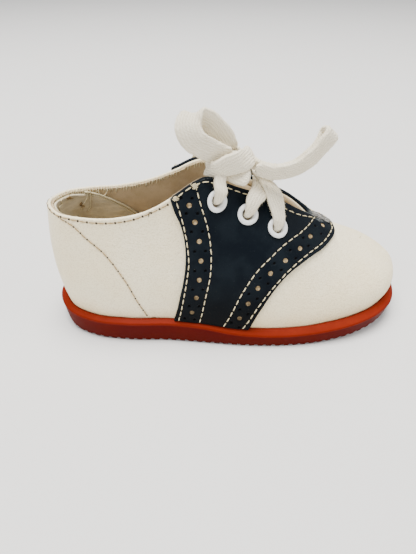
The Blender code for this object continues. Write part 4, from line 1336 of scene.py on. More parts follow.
def binding_line():
    """Rolled navy edge along both flaps, one tube over leather and lining together, and the lining's edge."""
    count = 200
    for side, side_name, start, width, thick, wear in FLAP_BINDINGS:
        shares = np.linspace(start, THROAT_SHARE - 0.002, count)
        line = on_skin(side, shares, np.ones(count), np.full(count, 0.45))
        line[:, 2] -= 0.22
        wide = skin_normal(side, shares, np.ones(count))
        ends = np.minimum(1, np.minimum(np.arange(count), np.arange(count)[::-1]) / 7 + 0.35)
        wear = wear + 0.65 * faded(np.linalg.norm(line - THROAT_END, axis=-1), 9.0)
        extra = {"wear": np.broadcast_to(wear[:, None], (count, 16))}
        tube(f"flap_binding_{side_name}", line, wide, width * np.minimum(ends + 0.2, 1), thick * ends,
             "navy_leather", 16, 0.85, extra)
        inner = on_skin(side, shares, np.ones(count), np.full(count, -(RIM_THICK + 0.1)))
        inner[:, 2] -= 0.45
        # Painted shade: the lining's edge at the flaps darkened through deep.
        tube(f"flap_lining_edge_{side_name}", inner, wide, 1.9 * ends, 0.9 * ends, "lining_cloth",
             extra={"deep": np.full((count, 12), 0.65)})


class SHOE_OT_stitching(bpy.types.Operator):
    """All the rows of stitches, each stitch a short raised thread, with the holes they dive into"""
    bl_idname = "shoe.stitching"
    bl_label = "Stitching"

    def execute(self, context):
        pitch, width = sizes().stitch_pitch, sizes().thread_width
        saddle, holes, upper = [], [], []
        for side in (LATERAL, MEDIAL):
            for rows in SADDLE_ROWS:
                saddle.append((row_stitches(rows, side, SADDLE_TOP - 0.10, pitch, width), width))
            saddle.append((row_stitches(FLAP_ROW, side, SADDLE_TOP - 0.10, pitch * 1.15, width, True), width))
            for rows, radius in ((COLLAR_ROW, 1.0), (COUNTER_ROW, 0.75)):
                upper.append((row_stitches(rows, side, -0.01, sizes().collar_pitch, 0.36, True), 0.30))
                holes.append((row_ends(rows, side, 0.0, sizes().collar_pitch), radius))
        stitch_mesh("saddle_stitches", saddle, "cream_thread")
        stitch_mesh("upper_stitches", upper, "tan_thread")
        dots("stitch_holes", holes, 0.42)
        # A short dark thread of painted shade along the nick in the collar.
        nick = on_skin(LATERAL, np.linspace(0.3155, 0.3135, 7), np.linspace(0.990, 0.945, 7), 0.02)[None]
        beside = np.broadcast_to(unit(on_skin(LATERAL, 0.32, 0.97) - on_skin(LATERAL, 0.31, 0.97)), (1, 7, 3))
        stitch_mesh("collar_nick", [((nick, beside), 0.34)], "dark_hole")
        return {"FINISHED"}


def row_stitches(rows, side, lift, pitch, width, share_first=False):
    """Middle lines and normals of a row's stitches."""
    share, height, line = row_line(rows, side, lift, 1200, share_first)
    along = arc_lengths(line)
    count = max(2, int(round(along[-1] / pitch)))
    step = along[-1] / count
    draw = np.random.default_rng(len(rows) * 7 + side)
    starts = np.arange(count) * step + 0.06 * step + draw.uniform(-0.06, 0.06, count)
    ends = starts + 0.88 * step
    places = starts[:, None] + (ends - starts)[:, None] * np.linspace(0, 1, 7)
    centre = np.stack([np.interp(places, along, line[:, k]) for k in range(3)], axis=-1)
    at_share = np.interp(places, along, share)
    at_height = np.interp(places, along, height)
    normal = skin_normal(side, at_share, at_height)
    if lift < 0:
        centre = centre + normal * skin_waves(centre)[..., None]
    arch = np.array([-0.75, 0.02, 0.32, 0.40, 0.32, 0.02, -0.75]) * width
    centre = centre + normal * arch[:, None]
    sway = draw.normal(0, 0.05, (count, 1, 1)) * np.linspace(-1, 1, 7)[:, None]
    tangent = unit(np.gradient(centre, axis=1))
    beside = np.cross(normal, tangent)
    return centre + beside * sway, beside


def row_ends(rows, side, lift, pitch):
    """Points between the stitches of a row, with the normals there."""
    share, height, line = row_line(rows, side, lift, 1200, True)
    along = arc_lengths(line)
    count = max(2, int(round(along[-1] / pitch)))
    places = np.arange(count + 1) * along[-1] / count
    centre = np.stack([np.interp(places, along, line[:, k]) for k in range(3)], axis=-1)
    normal = skin_normal(side, np.interp(places, along, share), np.interp(places, along, height))
    return np.concatenate([centre + normal * skin_waves(centre)[:, None], normal], axis=1)


def stitch_mesh(name, runs, look, sides=8):
    """One mesh of many short threads: each is an oblong section carried along an arched line of seven places."""
    shells, faces, values = [], [], {"along": [], "around": []}
    start = 0
    taper = np.array([0.45, 0.85, 1.0, 1.0, 1.0, 0.85, 0.45])
    angle = turns(sides)
    for (centre, beside), width in runs:
        count = len(centre)
        tangent = unit(np.gradient(centre, axis=1))
        up = np.cross(tangent, beside)
        out = np.cos(angle)[None, None, :, None] * beside[:, :, None] * width / 2
        rise = np.sin(angle)[None, None, :, None] * up[:, :, None] * width * 0.42
        points = centre[:, :, None] + (out + rise) * taper[None, :, None, None]
        shells.append(points.reshape(-1, 3))
        index = start + np.arange(count * 7 * sides).reshape(count, 7, sides)
        ring = np.concatenate([index, index[:, :, :1]], axis=2)
        quads = np.stack([ring[:, :-1, :-1], ring[:, 1:, :-1], ring[:, 1:, 1:], ring[:, :-1, 1:]], axis=-1)
        faces += quads.reshape(-1, 4).tolist() + index[:, 0].tolist() + index[:, -1, ::-1].tolist()
        run = np.linalg.norm(np.diff(centre, axis=1), axis=2)
        run = np.concatenate([np.zeros((count, 1)), np.cumsum(run, axis=1)], axis=1)
        values["along"].append(np.broadcast_to(run[:, :, None], points.shape[:3]).ravel())
        values["around"].append(np.broadcast_to(angle / TURN, points.shape[:3]).ravel())
        start += points.shape[0] * points.shape[1] * sides
    values = {k: np.concatenate(v) for k, v in values.items()}
    return make_piece(name, np.concatenate(shells), faces, finish(look), values, True)


def dots(name, rows, radius, sides=8):
    """Shallow domes of painted shade that stand for the holes in the leather at the ends of the stitches."""
    radius = np.concatenate([np.full(len(places), scale) for places, scale in rows])[:, None, None] * radius
    places = np.concatenate([places for places, _ in rows])
    normal = places[:, 3:]
    side = unit(np.cross(normal, [0.3, 0.2, 1.0]))
    other = np.cross(normal, side)
    angle = turns(sides)
    shells = []
    for r, z in ((1.0, -0.25), (1.0, 0.02), (0.6, 0.10)):
        ring = (np.cos(angle)[None, :, None] * side[:, None] + np.sin(angle)[None, :, None] * other[:, None])
        shells.append(places[:, None, :3] + ring * radius * r + normal[:, None] * z * radius * 2)
    points = np.stack(shells, axis=1)
    count = len(places)
    index = np.arange(count * 3 * sides).reshape(count, 3, sides)
    ring = np.concatenate([index, index[:, :, :1]], axis=2)
    quads = np.stack([ring[:, :-1, :-1], ring[:, :-1, 1:], ring[:, 1:, 1:], ring[:, 1:, :-1]], axis=-1)
    faces = quads.reshape(-1, 4).tolist() + index[:, 0, ::-1].tolist() + index[:, -1].tolist()
    return make_piece(name, points.reshape(-1, 3), faces, finish("dark_hole"), {}, True)


TONGUE = ((0.455, 0.84, 0.5), (0.50, 0.82, 0.5), (0.55, 0.80, 0.6), (0.60, 0.78, 0.9), (0.65, 0.79, 1.4))
TONGUE_THICK = 1.4


def inner_face(side, share, depth, lift):
    """Point on a face inside the upper, a given distance below the rim."""
    heights = np.linspace(0.6, 1, 60)
    column = upper_skin(side, np.full(60, share), heights)
    below = arc_lengths(column[::-1])
    height = np.interp(depth, below, heights[::-1])
    return on_skin(side, share, height, lift)


def whip_stitches():
    """Short uneven threads over the lining's top edge, all round the collar and along the flaps."""
    draw = np.random.default_rng(5)
    middles, besides = [], []
    for side in (LATERAL, MEDIAL):
        share = 0.02
        while share < 0.60:
            drop = draw.uniform(0.9, 2.2)
            slant = draw.uniform(-0.003, 0.006)
            crest = (0.55, 0.35) if side == LATERAL else (0.25, -0.05)
            deep = np.array([drop + 0.3, drop * 0.6, *crest])
            lift = -(RIM_THICK + np.array([0.75, 0.95, 0.7, 0.55 if side == LATERAL else 0.1]))
            rough = [inner_face(side, share + slant * k / 3, d, v) for k, (d, v) in enumerate(zip(deep, lift))]
            middles.append(even_line(np.array(rough), 7))
            beside = unit(on_skin(side, share + 0.004, 0.98) - on_skin(side, share, 0.98))
            besides.append(np.broadcast_to(beside, (7, 3)))
            share += draw.uniform(0.0045, 0.0085)
    return np.array(middles), np.array(besides)


def tangle(centre, normal, reach, count, width, seed):
    """Heap of short curled threads on a spot."""
    draw = np.random.default_rng(seed)
    t = np.linspace(0, 1, 7)[None, :, None]
    start = draw.normal(size=(count, 1, 3)) * reach * 0.45
    ahead = draw.normal(size=(count, 1, 3)) * reach * 0.75
    bend = draw.normal(size=(count, 1, 3)) * reach * 0.45
    path = start + ahead * (t - 0.5) + bend * np.sin(t * math.pi)
    rise = np.sum(path * normal, axis=-1, keepdims=True)
    path = path - normal * rise * 0.85 + normal * width * (0.5 + 3.0 * draw.random((count, 1, 1)))
    path = path + centre
    tangent = unit(np.gradient(path, axis=1))
    beside = unit(np.cross(tangent, normal))
    return (path, beside), width


class SHOE_OT_threads(bpy.types.Operator):
    """Tacks at the saddle's corners and throat, whip stitches over the lining's edge and loose threads"""
    bl_idname = "shoe.threads"
    bl_label = "Tacks and threads"

    def execute(self, context):
        stitch_mesh("lining_whip_stitches", [(whip_stitches(), 0.42)], "cream_thread")
        tacks = []
        for side in (LATERAL, MEDIAL):
            for k, (share, height) in enumerate(((0.372, 0.980), (0.408, 0.985))):
                centre = on_skin(side, share, height, SADDLE_TOP - 0.1)
                normal = skin_normal(side, share, height)
                tacks.append(tangle(centre, normal, 0.70, 40, 0.22, 40 + k + side))
        ridge = on_skin(LATERAL, 0.640, 1.0, SADDLE_TOP)
        up = skin_normal(LATERAL, 0.66, 0.98)
        up = unit(np.array([up[0], 0.0, up[2]]))
        for k, shift in enumerate((-1.8, 0.0, 1.8, 3.4)):
            spot = ridge + np.array([shift, -1.2 + 0.5 * k, -0.62 * shift])
            tacks.append(tangle(spot, up, 1.3, 44, 0.22, 60 + k))
        stitch_mesh("saddle_tacks", tacks[:4], "cream_thread")
        stitch_mesh("throat_tack", tacks[4:], "grey_thread")
        spots = []
        for k, (share, height) in enumerate(((0.122, 0.84), (0.075, 0.96))):
            normal = -skin_normal(MEDIAL, share, height)
            spots.append(tangle(on_skin(MEDIAL, share, height, -2.7), normal, 0.8, 22, 0.2, 70 + k))
        stitch_mesh("lining_tacks", spots, "tan_thread")
        loose = []
        for side, shares, depths in LOOSE_THREADS:
            line = np.array([inner_face(side, s, d, -(RIM_THICK + 1.9)) for s, d in zip(shares, depths)])
            line = curve_through(line, 40)
            loose.append(line)
        for k, line in enumerate(loose):
            tube(f"loose_thread_{k + 1}", line, np.tile([0.0, 0.3, 1.0], (40, 1)), 0.34, 0.34,
                 "cream_thread", 8)
        return {"FINISHED"}


LOOSE_THREADS = (  # side, shares, depths below the rim
    (MEDIAL, (0.150, 0.146, 0.136, 0.126, 0.118), (0.2, 2.6, 4.6, 5.8, 8.2)),
    (MEDIAL, (0.158, 0.156, 0.150, 0.147, 0.135), (0.3, 3.0, 5.5, 7.6, 9.4)),
    (MEDIAL, (0.180, 0.184, 0.192, 0.200, 0.205), (0.4, 2.0, 2.6, 1.8, 0.3)),
    (MEDIAL, (0.046, 0.034, 0.040, 0.020, 0.024, 0.004), (0.6, 1.4, 2.8, 3.4, 5.0, 5.8)),
)


class SHOE_OT_tongue(bpy.types.Operator):
    """Cloth-lined tongue under the flaps"""
    bl_idname = "shoe.tongue"
    bl_label = "Tongue"

    def execute(self, context):
        rows = []
        for share in np.linspace(TONGUE[0][0], TONGUE[-1][0], 70):
            edge, clear = table(TONGUE, share)
            heights = np.linspace(edge, 0.95, 3)
            left, right = (on_skin(side, share, heights, np.full(3, -(WALL + clear))) for side in (LATERAL, MEDIAL))
            rail = np.concatenate([left, right[::-1]])
            knots = arc_lengths(rail)
            rows.append(smooth(knots, rail, np.linspace(0, knots[-1], 50)))
        points = np.array(rows)
        normals = unit(np.cross(np.gradient(points, axis=0), np.gradient(points, axis=1)))
        normals *= np.sign(normals[35, 25, 2])
        puff = soft_waves(points, 8.0, 41) * 0.12
        outer = points + normals * puff[..., None]
        inner = points + normals * (puff - TONGUE_THICK)[..., None]
        along, across = np.meshgrid(np.linspace(0, 42, 70), np.linspace(0, 20, 50), indexing="ij")
        values = {"around": across, "up": along, "deep": np.zeros(along.shape)}
        piece = closed_sheet("tongue_cloth", outer, inner, "lining_cloth", values)
        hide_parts("tongue")
        return {"FINISHED"}


class SHOE_OT_insole(bpy.types.Operator):
    """Thin insole, a little dished and worn under the heel"""
    bl_idname = "shoe.insole"
    bl_label = "Insole"

    def execute(self, context):
        shares = np.linspace(0, 1, 90)
        rims = []
        for side in (LATERAL, MEDIAL):
            xy, out = along_feather(side, shares)
            rims.append(xy - out * (WALL + 0.75))
        t = np.linspace(0, 1, 40)
        xy = rims[0][:, None] * (1 - t)[:, None] + rims[1][:, None] * t[:, None]
        join = table(SOLE_SIDE, xy[..., 0])[..., 2]
        dish = 0.55 * (np.abs(2 * t - 1) ** 4)[None]
        press = 0.25 * np.exp(-((xy[..., 0] + 40) / 11) ** 2 - (xy[..., 1] / 9) ** 2)
        press += 0.22 * np.exp(-((xy[..., 0] - 22) / 14) ** 2 - (xy[..., 1] / 12) ** 2)
        upper_face = np.concatenate([xy, (join + 0.95 + dish - press)[..., None]], axis=-1)
        under = np.concatenate([xy, (join + 0.05)[..., None]], axis=-1)
        # Painted shade: deep darkens the insole a little, as it lies inside the shoe.
        values = {"around": xy[..., 0], "up": xy[..., 1], "deep": np.full(join.shape, 0.3)}
        piece = closed_sheet("insole_board", upper_face, under, "lining_cloth", values)
        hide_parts("insole")
        return {"FINISHED"}


class SHOE_OT_eyelets(bpy.types.Operator):
    """Six enamelled eyelets: a rolled flange on the saddle and a barrel through it"""
    bl_idname = "shoe.eyelets"
    bl_label = "Eyelets"

    def execute(self, context):
        profile = np.array([(1.75, -3.2), (2.1, -3.2), (2.15, -0.4), (2.6, -0.34), (3.15, -0.32), (3.36, -0.18),
                            (3.40, 0.05), (3.30, 0.30), (3.05, 0.50), (2.70, 0.60), (2.35, 0.56), (2.05, 0.36),
                            (1.86, 0.05), (1.78, -0.4)])
        angle = turns(44)
        for side, side_name in SIDE_NAMES:
            for row, (share, height) in EYELETS.items():
                place = on_skin(side, share, height, EYELET_SEAT)
                normal = skin_normal(side, share, height)
                ahead = unit(np.cross((0.0, 1.0, 0.0), normal))
                across = np.cross(normal, ahead)
                wobble = 1 + 0.012 * np.sin(angle * 3 + share * 40)
                radius = profile[None, :, 0] * wobble[:, None] * 1.05
                points = (place + radius[..., None] * (np.cos(angle)[:, None, None] * ahead
                          + np.sin(angle)[:, None, None] * across) + profile[None, :, 1:] * normal)
                faces = grid_quads(len(angle), len(profile), wrap_rows=True, wrap_columns=True).tolist()
                piece = make_piece(f"eyelet_ring_{side_name}_{row}", points, faces, finish("enamel"),
                                   {}, True)
                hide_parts(f"eyelet_{side_name}_{row}")
        return {"FINISHED"}


RIB_PITCH = 3.1
GROOVE_FIRST = -61.0
GROOVE_WIDTH = 1.5
GROOVE_DEPTH = 1.0


def sole_heights(x):
    """Heights of tread, edge and join at x, the tread flat wherever it would dip below the floor."""
    heights = table(SOLE_SIDE, x)
    heights[..., 0] = np.maximum(heights[..., 0], 0.0)
    return heights


def ripple(x):
    """Depth of the tread's grooves at x: rounded slots at one pitch."""
    far = np.abs((x - GROOVE_FIRST + RIB_PITCH / 2) % RIB_PITCH - RIB_PITCH / 2)
    return GROOVE_DEPTH * np.clip((GROOVE_WIDTH / 2 + 0.12 - far) / 0.34, 0, 1) ** 0.8


class SHOE_OT_sole(bpy.types.Operator):
    """Red rubber sole: sloped ledge, near-upright wall and a rippled tread"""
    bl_idname = "shoe.sole"
    bl_label = "Sole"

    def execute(self, context):
        per_side = 420
        sides = np.array([LATERAL] * per_side + [MEDIAL] * (per_side - 2))
        shares = np.linspace(0, 1, per_side)
        shares = np.concatenate([shares, shares[-2:0:-1]])
        near = sides == LATERAL
        base = np.empty((len(shares), 2))
        out = np.empty((len(shares), 2))
        for side in (LATERAL, MEDIAL):
            mask = sides == side
            base[mask], out[mask] = along_feather(side, shares[mask])
        lateral, medial, lean = table(LEDGE, shares).T
        ledge = np.where(near, lateral, medial)
        rings, marks = [], []

        def ring(inset, level, under=0.0, is_ledge=0.0):
            """Adds a ring at a distance outside the feather line and a level that depends on x."""
            xy = base + out * np.broadcast_to(inset, shares.shape)[:, None]
            z = level(xy[:, 0])
            if under:
                z = np.maximum(z, sole_heights(xy[:, 0])[:, 0] + ripple(xy[:, 0]))
            rings.append(np.column_stack([xy, z]))
            marks.append((under, is_ledge))

        def between(low, high, t):
            """Level a share of the way between two of the side view's heights."""
            return lambda x: sole_heights(x)[:, low] * (1 - t) + sole_heights(x)[:, high] * t

        ring(-2.6, lambda x: sole_heights(x)[:, 2] - 0.5)
        ring(-0.9, lambda x: sole_heights(x)[:, 2] - 0.45)
        ring(-0.10, lambda x: sole_heights(x)[:, 2] - 0.55, is_ledge=1.0)
        ring(0.12, lambda x: sole_heights(x)[:, 2] - 0.20, is_ledge=1.0)
        for t in np.linspace(0.12, 0.84, 8):
            drop = 0.10 * math.sin(t * math.pi)
            ring(ledge * t, lambda x, t=t, d=drop: between(2, 1, t)(x) + d, is_ledge=1.0)
        for t, down in ((0.92, 0.02), (0.975, 0.13), (1.0, 0.42)):
            ring(ledge * t, lambda x, t=t, d=down: between(2, 1, min(t, 1.0))(x) - d, is_ledge=0.7)
        # The wall's rings carry under, growing downward, for the rubber's painted shade.
        for t in np.linspace(0.12, 0.92, 15):
            ring(ledge - lean * t, lambda x, t=t: between(1, 0, t)(x) + 0.05, under=1e-9 + t * 0.6)
        for turn in np.linspace(0.15, 1.0, 5):
            angle = turn * math.pi / 2
            inset = ledge - lean - 0.8 * (1 - math.cos(angle))
            ring(inset, lambda x, a=angle: sole_heights(x)[:, 0] + 0.8 * (1 - math.sin(a)), under=1.0)
        shell = np.array(rings).transpose(1, 0, 2)
        count, rows = shell.shape[:2]
        index = np.arange(count * rows).reshape(count, rows)
        quads = [quads_between(np.concatenate([index, index[:1]]))]
        points = [shell.reshape(-1, 3)]
        under_mark = np.broadcast_to(np.array([m[0] for m in marks]), (count, rows)).ravel()
        ledge_mark = np.broadcast_to(np.array([m[1] for m in marks]), (count, rows)).ravel()
        values = {"under": [under_mark], "ledge": [ledge_mark]}
        start = count * rows
        half = count // 2
        for end, upward in ((-1, False), (0, True)):
            rim = shell[:, end]
            near_rim, far_rim = rim[:half + 1], rim[-np.arange(half + 1) % count]
            t = np.linspace(0, 1, 34)
            xy = near_rim[:, None] * (1 - t)[:, None] + far_rim[:, None] * t[:, None]
            if upward:
                xy[..., 2] = sole_heights(xy[..., 0])[..., 2] - 0.5
            else:
                xy[..., 2] = sole_heights(xy[..., 0])[..., 0] + ripple(xy[..., 0])
            middle = start + np.arange((half + 1) * 32).reshape(half + 1, 32)
            full = np.column_stack([index[:half + 1, end], middle, index[-np.arange(half + 1) % count, end]])
            full[0] = index[0, end]
            full[-1] = index[half, end]
            points.append(xy[:, 1:-1].reshape(-1, 3))
            quads.append(quads_between(full) if upward else quads_between(full)[:, ::-1])
            start += (half + 1) * 32
            values["under"].append(np.full((half + 1) * 32, 0.0 if upward else 1.0))
            values["ledge"].append(np.zeros((half + 1) * 32))
        values = {k: np.concatenate(v) for k, v in values.items()}
        points = np.concatenate(points)
        faces = face_lists(np.concatenate(quads))
        points, faces, values = drop_unused(points, faces, values)
        piece = make_piece("rubber_sole", points, faces, finish("rubber"), values, True)
        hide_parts("outsole")
        return {"FINISHED"}


# Lace routes, given one by one; the bow's are the solids' own
LOOP_BACK = (  # up and back from the knot, over, and down behind
    (-1.6, -4.6, 61.9), (-5.0, -5.6, 63.4), (-9.2, -7.0, 66.0), (-13.2, -8.0, 69.3), (-14.6, -6.8, 72.6),
    (-13.0, -4.2, 74.4), (-9.4, -2.4, 73.2), (-5.6, -1.2, 70.0), (-2.6, -0.6, 66.6), (-1.2, -0.4, 64.4),
)
LOOP_BACK_FACING = ((1.0, 0.0, 0.7), (1.0, 0.0, 0.6), (1.0, 0.0, 0.6), (1.0, 0.0, 0.35), (1.0, 0.1, 0.15),
                    (1.0, 0.2, 0.0), (1.0, 0.2, 0.1), (1.0, 0.0, 0.4), (1.0, 0.0, 0.5), (1.0, 0.0, 0.5))
LOOP_FRONT = (  # ahead from the knot, up to its tip, and back close behind itself
    (6.4, -6.6, 59.4), (10.8, -7.8, 58.0), (16.0, -8.4, 58.4), (21.6, -8.2, 61.0), (26.0, -7.4, 65.2),
    (29.2, -5.8, 69.0), (29.2, -3.4, 68.6), (26.0, -3.6, 63.4), (21.2, -4.0, 59.0), (15.8, -4.0, 57.0),
    (10.6, -3.4, 57.4), (6.0, -2.4, 59.2),
)
LOOP_FRONT_FACING = ((0.3, -0.5, 1.0), (0.1, -0.5, 1.0), (-0.2, -0.5, 1.0), (-0.5, -0.5, 1.0), (-0.7, -0.5, 0.9),
                     (-0.8, -0.4, 0.8), (-0.8, -0.4, 0.8), (-0.6, -0.5, 1.0), (-0.4, -0.5, 1.0),
                     (-0.1, -0.5, 1.0), (0.1, -0.5, 1.0), (0.3, -0.5, 1.0))
WRAP_AND_STUB = (  # over the knot's front from its upper right, round its lower left and out below
    (4.8, -0.6, 61.2), (4.4, -4.6, 61.8), (1.2, -7.8, 61.8), (-2.8, -8.5, 60.9), (-6.2, -8.0, 59.4),
    (-8.2, -5.0, 58.8), (-6.0, -3.2, 57.3), (-2.6, -4.6, 57.0), (1.0, -7.2, 57.0), (4.4, -9.0, 57.0),
)
WRAP_FACING = ((-0.3, 0.0, 1.0), (-0.5, 0.5, 0.9), (-0.5, 0.0, 1.0), (-0.35, -0.1, 1.0), (-0.4, -0.2, 1.0),
               (0.2, 1.0, 0.2), (0.1, 1.0, 0.0), (0.4, 1.0, 0.2), (0.4, 0.8, 0.8), (0.4, 0.7, 0.9))
END_FAR = (  # share, height, lift above the saddle: down the inner side of the foot
    (0.474, 1.00, 5.2), (0.476, 0.91, 5.6), (0.478, 0.82, 5.2), (0.480, 0.73, 2.9), (0.483, 0.62, 1.6),
    (0.487, 0.50, 1.5), (0.492, 0.38, 1.5),
)
END_FAR_ROOT = (1.4, 2.2, 61.0)
BEHIND_KNOT = ((-0.5, 1.5, 62.6),)       # from the back loop to the far end's root
UNDER_WRAP = ((4.2, -1.0, 60.6),)        # from the front loop to the wrap
KNOT_CORE = (-1.9, -2.4, 61.1)
KNOT_HALF = (3.7, 2.4, 1.6)
KNOT_TILT = math.radians(-16)
OVER_EYELET = 2.45                       # lace's middle above the saddle where it goes over an eyelet
ALONG_THROAT = (1.0, 0.0, -0.5)
CROSSING = (9.8, 0.4, 50.2)              # level of the flaps' edges where the two strands cross
OVER_STRAND = 3.0
UNDER_STRAND = 1.5


def over_saddle(side, share, height, lift):
    """Point a given height above the saddle's outer face."""
    return on_skin(side, share, height, lift + SADDLE_TOP)


def lace(name, route, facing, widths, thicks, count, seed):
    """Soft flat lace along a route; gives the piece and its centre line in millimetres."""
    facing = np.broadcast_to(np.array(facing, float), (len(route), 3))
    line = curve_through(route, count)
    wide = along_route(route, facing, count)
    widths = along_route(route, np.broadcast_to(np.array(widths, float), (len(route),)), count)
    thicks = along_route(route, np.broadcast_to(np.array(thicks, float), (len(route),)), count)
    sides = LACE_SIDES
    end = np.minimum(np.arange(count), np.arange(count)[::-1])
    blunt = np.sqrt(np.clip((end + 0.6) / 4, 0, 1))
    points, angle = sweep(line, wide, widths * blunt, thicks * blunt, sides, LACE_SQUARE)
    outward = unit(points - line[:, None])
    across = rounded(np.cos(angle), LACE_SQUARE)[None] * widths[:, None] / 2
    relief = soft_waves(points, 6.0, seed) * 0.22 + soft_waves(points, 2.2, seed + 1) * 0.10
    relief += np.sin(across * 2 * math.pi / RIB) * 0.03
    points = points + outward * (relief * blunt[:, None])[..., None]
    along = np.broadcast_to(arc_lengths(line)[:, None], (count, sides))
    values = {"along": along, "across": across, "around": np.broadcast_to(angle / TURN, (count, sides))}
    fibres(name + "_fuzz", points, outward, seed)
    return closed_tube(name, line, points, values, "cotton"), line


LACE_SIDES = 60
LACE_SQUARE = 0.72           # power under one that squares the lace's section
FUZZ_PER_MM = 34
FUZZ_WIDTH = 0.04


def fibres(name, points, outward, seed, per_mm=FUZZ_PER_MM, reach=0.75):
    """Loose fibres that stand off a lace: short bent strips at places drawn once."""
    draw = np.random.default_rng(seed)
    rows, sides = points.shape[:2]
    length = np.linalg.norm(np.diff(points[:, 0], axis=0), axis=1).sum()
    count = int(length * per_mm)
    row, turn = draw.integers(2, rows - 2, count), draw.integers(0, sides, count)
    root, away = points[row, turn], outward[row, turn]
    sway = unit(draw.normal(size=(count, 3)))
    sway = unit(sway - away * np.sum(sway * away, axis=1, keepdims=True))
    size = draw.uniform(0.35, 1.0, (count, 1)) * reach
    t = np.linspace(0, 1, 4)[None, :, None]
    middle = root[:, None] - away[:, None] * 0.1
    middle = middle + (away[:, None] * t * 0.8 + sway[:, None] * t ** 2 * 1.1) * size[:, None]
    beside = unit(np.cross(away, sway))[:, None] * FUZZ_WIDTH * (1.1 - t)
    strip = np.stack([middle - beside, middle + beside], axis=2)
    index = np.arange(count * 8).reshape(count, 4, 2)
    quads = np.stack([index[:, :-1, 0], index[:, 1:, 0], index[:, 1:, 1], index[:, :-1, 1]], axis=-1)
    return make_piece(name, strip, quads.reshape(-1, 4).tolist(), finish("fuzz"), {})


def knot_core():
    """Rounded lump inside the knot, that the wrap goes round."""
    rows = np.linspace(-math.pi / 2, math.pi / 2, 26)
    angle = turns(40)
    radius = np.cos(rows) ** 0.7
    points = np.stack([np.broadcast_to(KNOT_HALF[0] * np.sin(rows)[:, None], (26, 40)),
                       KNOT_HALF[1] * radius[:, None] * np.cos(angle), KNOT_HALF[2] * radius[:, None] * np.sin(angle)],
                      axis=-1)
    tilt = np.array(Matrix.Rotation(KNOT_TILT, 3, "Y"))
    points = points @ tilt.T + KNOT_CORE
    points += unit(points - KNOT_CORE) * (soft_waves(points, 3.0, 61) * 0.2)[..., None]
    index = np.arange(26 * 40).reshape(26, 40)
    index[0], index[-1] = index[0, 0], index[-1, 0]
    values = {"along": points[..., 0], "across": points[..., 2], "around": points[..., 1]}
    values = {k: np.ravel(v) for k, v in values.items()}
    faces = face_lists(quads_between(np.column_stack([index, index[:, :1]])))
    points, faces, values = drop_unused(points.reshape(-1, 3), faces, values)
    return make_piece("knot_core", points, faces, finish("cotton"), values, True)


class SHOE_OT_bow(bpy.types.Operator):
    """Knot and bow: two laces, each with its loop and its free end"""
    bl_idname = "shoe.bow"
    bl_label = "Bow"

    def execute(self, context):
        knot = knot_core()
        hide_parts("lace_knot")
        far_end = [tuple(over_saddle(MEDIAL, *row)) for row in END_FAR]
        route = [*LOOP_BACK, *BEHIND_KNOT, END_FAR_ROOT, *far_end]
        facing = [*LOOP_BACK_FACING, (1.0, 0.0, 0.2)] + [ALONG_THROAT] * (1 + len(far_end))
        widths = [6.4, 7.2, 7.6, 7.8, 7.8, 7.6, 7.2, 6.8, 6.0, 5.0, 3.6, 4.2] + [5.6] * len(far_end)
        back, line = lace("lace_bow_back", route, facing, widths, 2.2, 240, 71)
        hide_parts("lace_loop_back", "lace_end_far")

        route = [*LOOP_FRONT, *UNDER_WRAP, *WRAP_AND_STUB]
        facing = [*LOOP_FRONT_FACING, (0.2, 0.0, 1.0), *WRAP_FACING]
        widths = [5.2, 6.0, 6.4, 6.4, 6.4, 6.2, 6.2, 6.4, 6.4, 6.0, 5.0, 4.4, 3.8]
        widths += [5.0, 6.0, 7.0, 7.2, 6.2, 5.2, 5.0, 5.6, 6.2, 6.0]
        front, line = lace("lace_bow_front", route, facing, widths, 2.1, 280, 81)
        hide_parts("lace_loop_front", "lace_end_near")
        return {"FINISHED"}


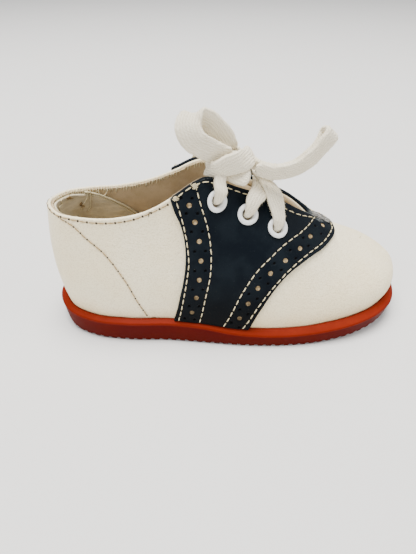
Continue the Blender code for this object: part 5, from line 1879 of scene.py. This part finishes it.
class SHOE_OT_lacing(bpy.types.Operator):
    """Lace through the eyelets: two strands that cross over the tongue and two that rise to the knot"""
    bl_idname = "shoe.lacing"
    bl_label = "Lacing"

    def execute(self, context):
        wide = sizes().lace_width
        for name, start, ride in (("over", LATERAL, OVER_STRAND), ("under", MEDIAL, UNDER_STRAND)):
            across = [over_saddle(start, 0.565, 0.88, OVER_EYELET), over_saddle(start, 0.556, 1.0, ride),
                      (CROSSING[0], CROSSING[1], CROSSING[2] + ride), over_saddle(-start, 0.538, 1.0, ride),
                      over_saddle(-start, 0.528, 0.91, OVER_EYELET + 0.1)]
            low = out_of_eyelet(start, "front", across[0])
            high = out_of_eyelet(-start, "middle", across[-1])
            widths = [2.2, 2.2, 3.6, wide - 0.6, wide, wide, wide, wide - 0.6, 3.6, 2.2, 2.2]
            piece, _ = lace(f"lace_crossing_{name}", low + across + high[::-1], [ALONG_THROAT] * 11, widths,
                            [2.0, 2.0, 2.0, 2.0, 1.9, 1.9, 1.9, 2.0, 2.0, 2.0, 2.0], 150, 91 + start)
        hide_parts("lace_crossing")
        for side, side_name, height, lift in ((LATERAL, "lateral", 0.97, 1.5), (MEDIAL, "medial", 1.0, 2.0)):
            share = EYELETS["rear"][0]
            over = [over_saddle(side, share, 0.90, OVER_EYELET), over_saddle(side, share, height, lift)]
            rise = out_of_eyelet(side, "rear", over[0])
            knot = [(KNOT_CORE[0] - 1.0, KNOT_CORE[1] + side * 1.4, KNOT_CORE[2] - 1.2)]
            piece, _ = lace(f"lace_rising_{side_name}", rise + over + knot, [ALONG_THROAT] * 6,
                            [2.2, 2.2, 3.2, 3.8, 3.9, 3.8], [2.0, 2.0, 2.1, 2.2, 2.2, 2.2], 90, 95 + side)
            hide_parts(f"lace_rear_{side_name}")
        return {"FINISHED"}


def out_of_eyelet(side, row, toward):
    """First points of a lace: up through the eyelet, then over its flange toward the next point."""
    place = EYELETS[row]
    centre = on_skin(side, *place)
    normal = skin_normal(side, *place)
    lean = np.asarray(toward) - centre
    lean = unit(lean - normal * (lean @ normal))
    return [centre - normal * 2.0, centre + normal * 1.2, centre + normal * 3.1 + lean * 1.5]


PIECES = (SHOE_OT_stage, SHOE_OT_bow, SHOE_OT_lacing, SHOE_OT_upper, SHOE_OT_lining, SHOE_OT_saddle,
          SHOE_OT_stitching, SHOE_OT_threads, SHOE_OT_tongue, SHOE_OT_insole, SHOE_OT_eyelets, SHOE_OT_sole)


class SHOE_PT_panel(bpy.types.Panel):
    """Saddle shoe's sizes, colours and pieces"""
    bl_idname = "SHOE_PT_panel"
    bl_label = "Saddle Shoe"
    bl_space_type = "VIEW_3D"
    bl_region_type = "UI"
    bl_category = "Saddle Shoe"

    def draw(self, context):
        for group in (context.scene.shoe_sizes, context.scene.shoe_colours):
            box = self.layout.box()
            for key in group.__annotations__:
                box.prop(group, key)
        for piece in PIECES:
            self.layout.operator(piece.bl_idname)


CLASSES = (ShoeSizes, ShoeColours, *PIECES, SHOE_PT_panel)


def register():
    """Registers the classes and keeps their properties on the scene."""
    for item in CLASSES:
        bpy.utils.register_class(item)
    bpy.types.Scene.shoe_sizes = PointerProperty(type=ShoeSizes)
    bpy.types.Scene.shoe_colours = PointerProperty(type=ShoeColours)


def unregister():
    """Takes away what register added."""
    del bpy.types.Scene.shoe_colours
    del bpy.types.Scene.shoe_sizes
    for item in reversed(CLASSES):
        bpy.utils.unregister_class(item)


def main():
    register()
    for piece in PIECES:
        getattr(bpy.ops.shoe, piece.bl_idname.split(".")[1])()


if __name__ == "__main__":
    main()
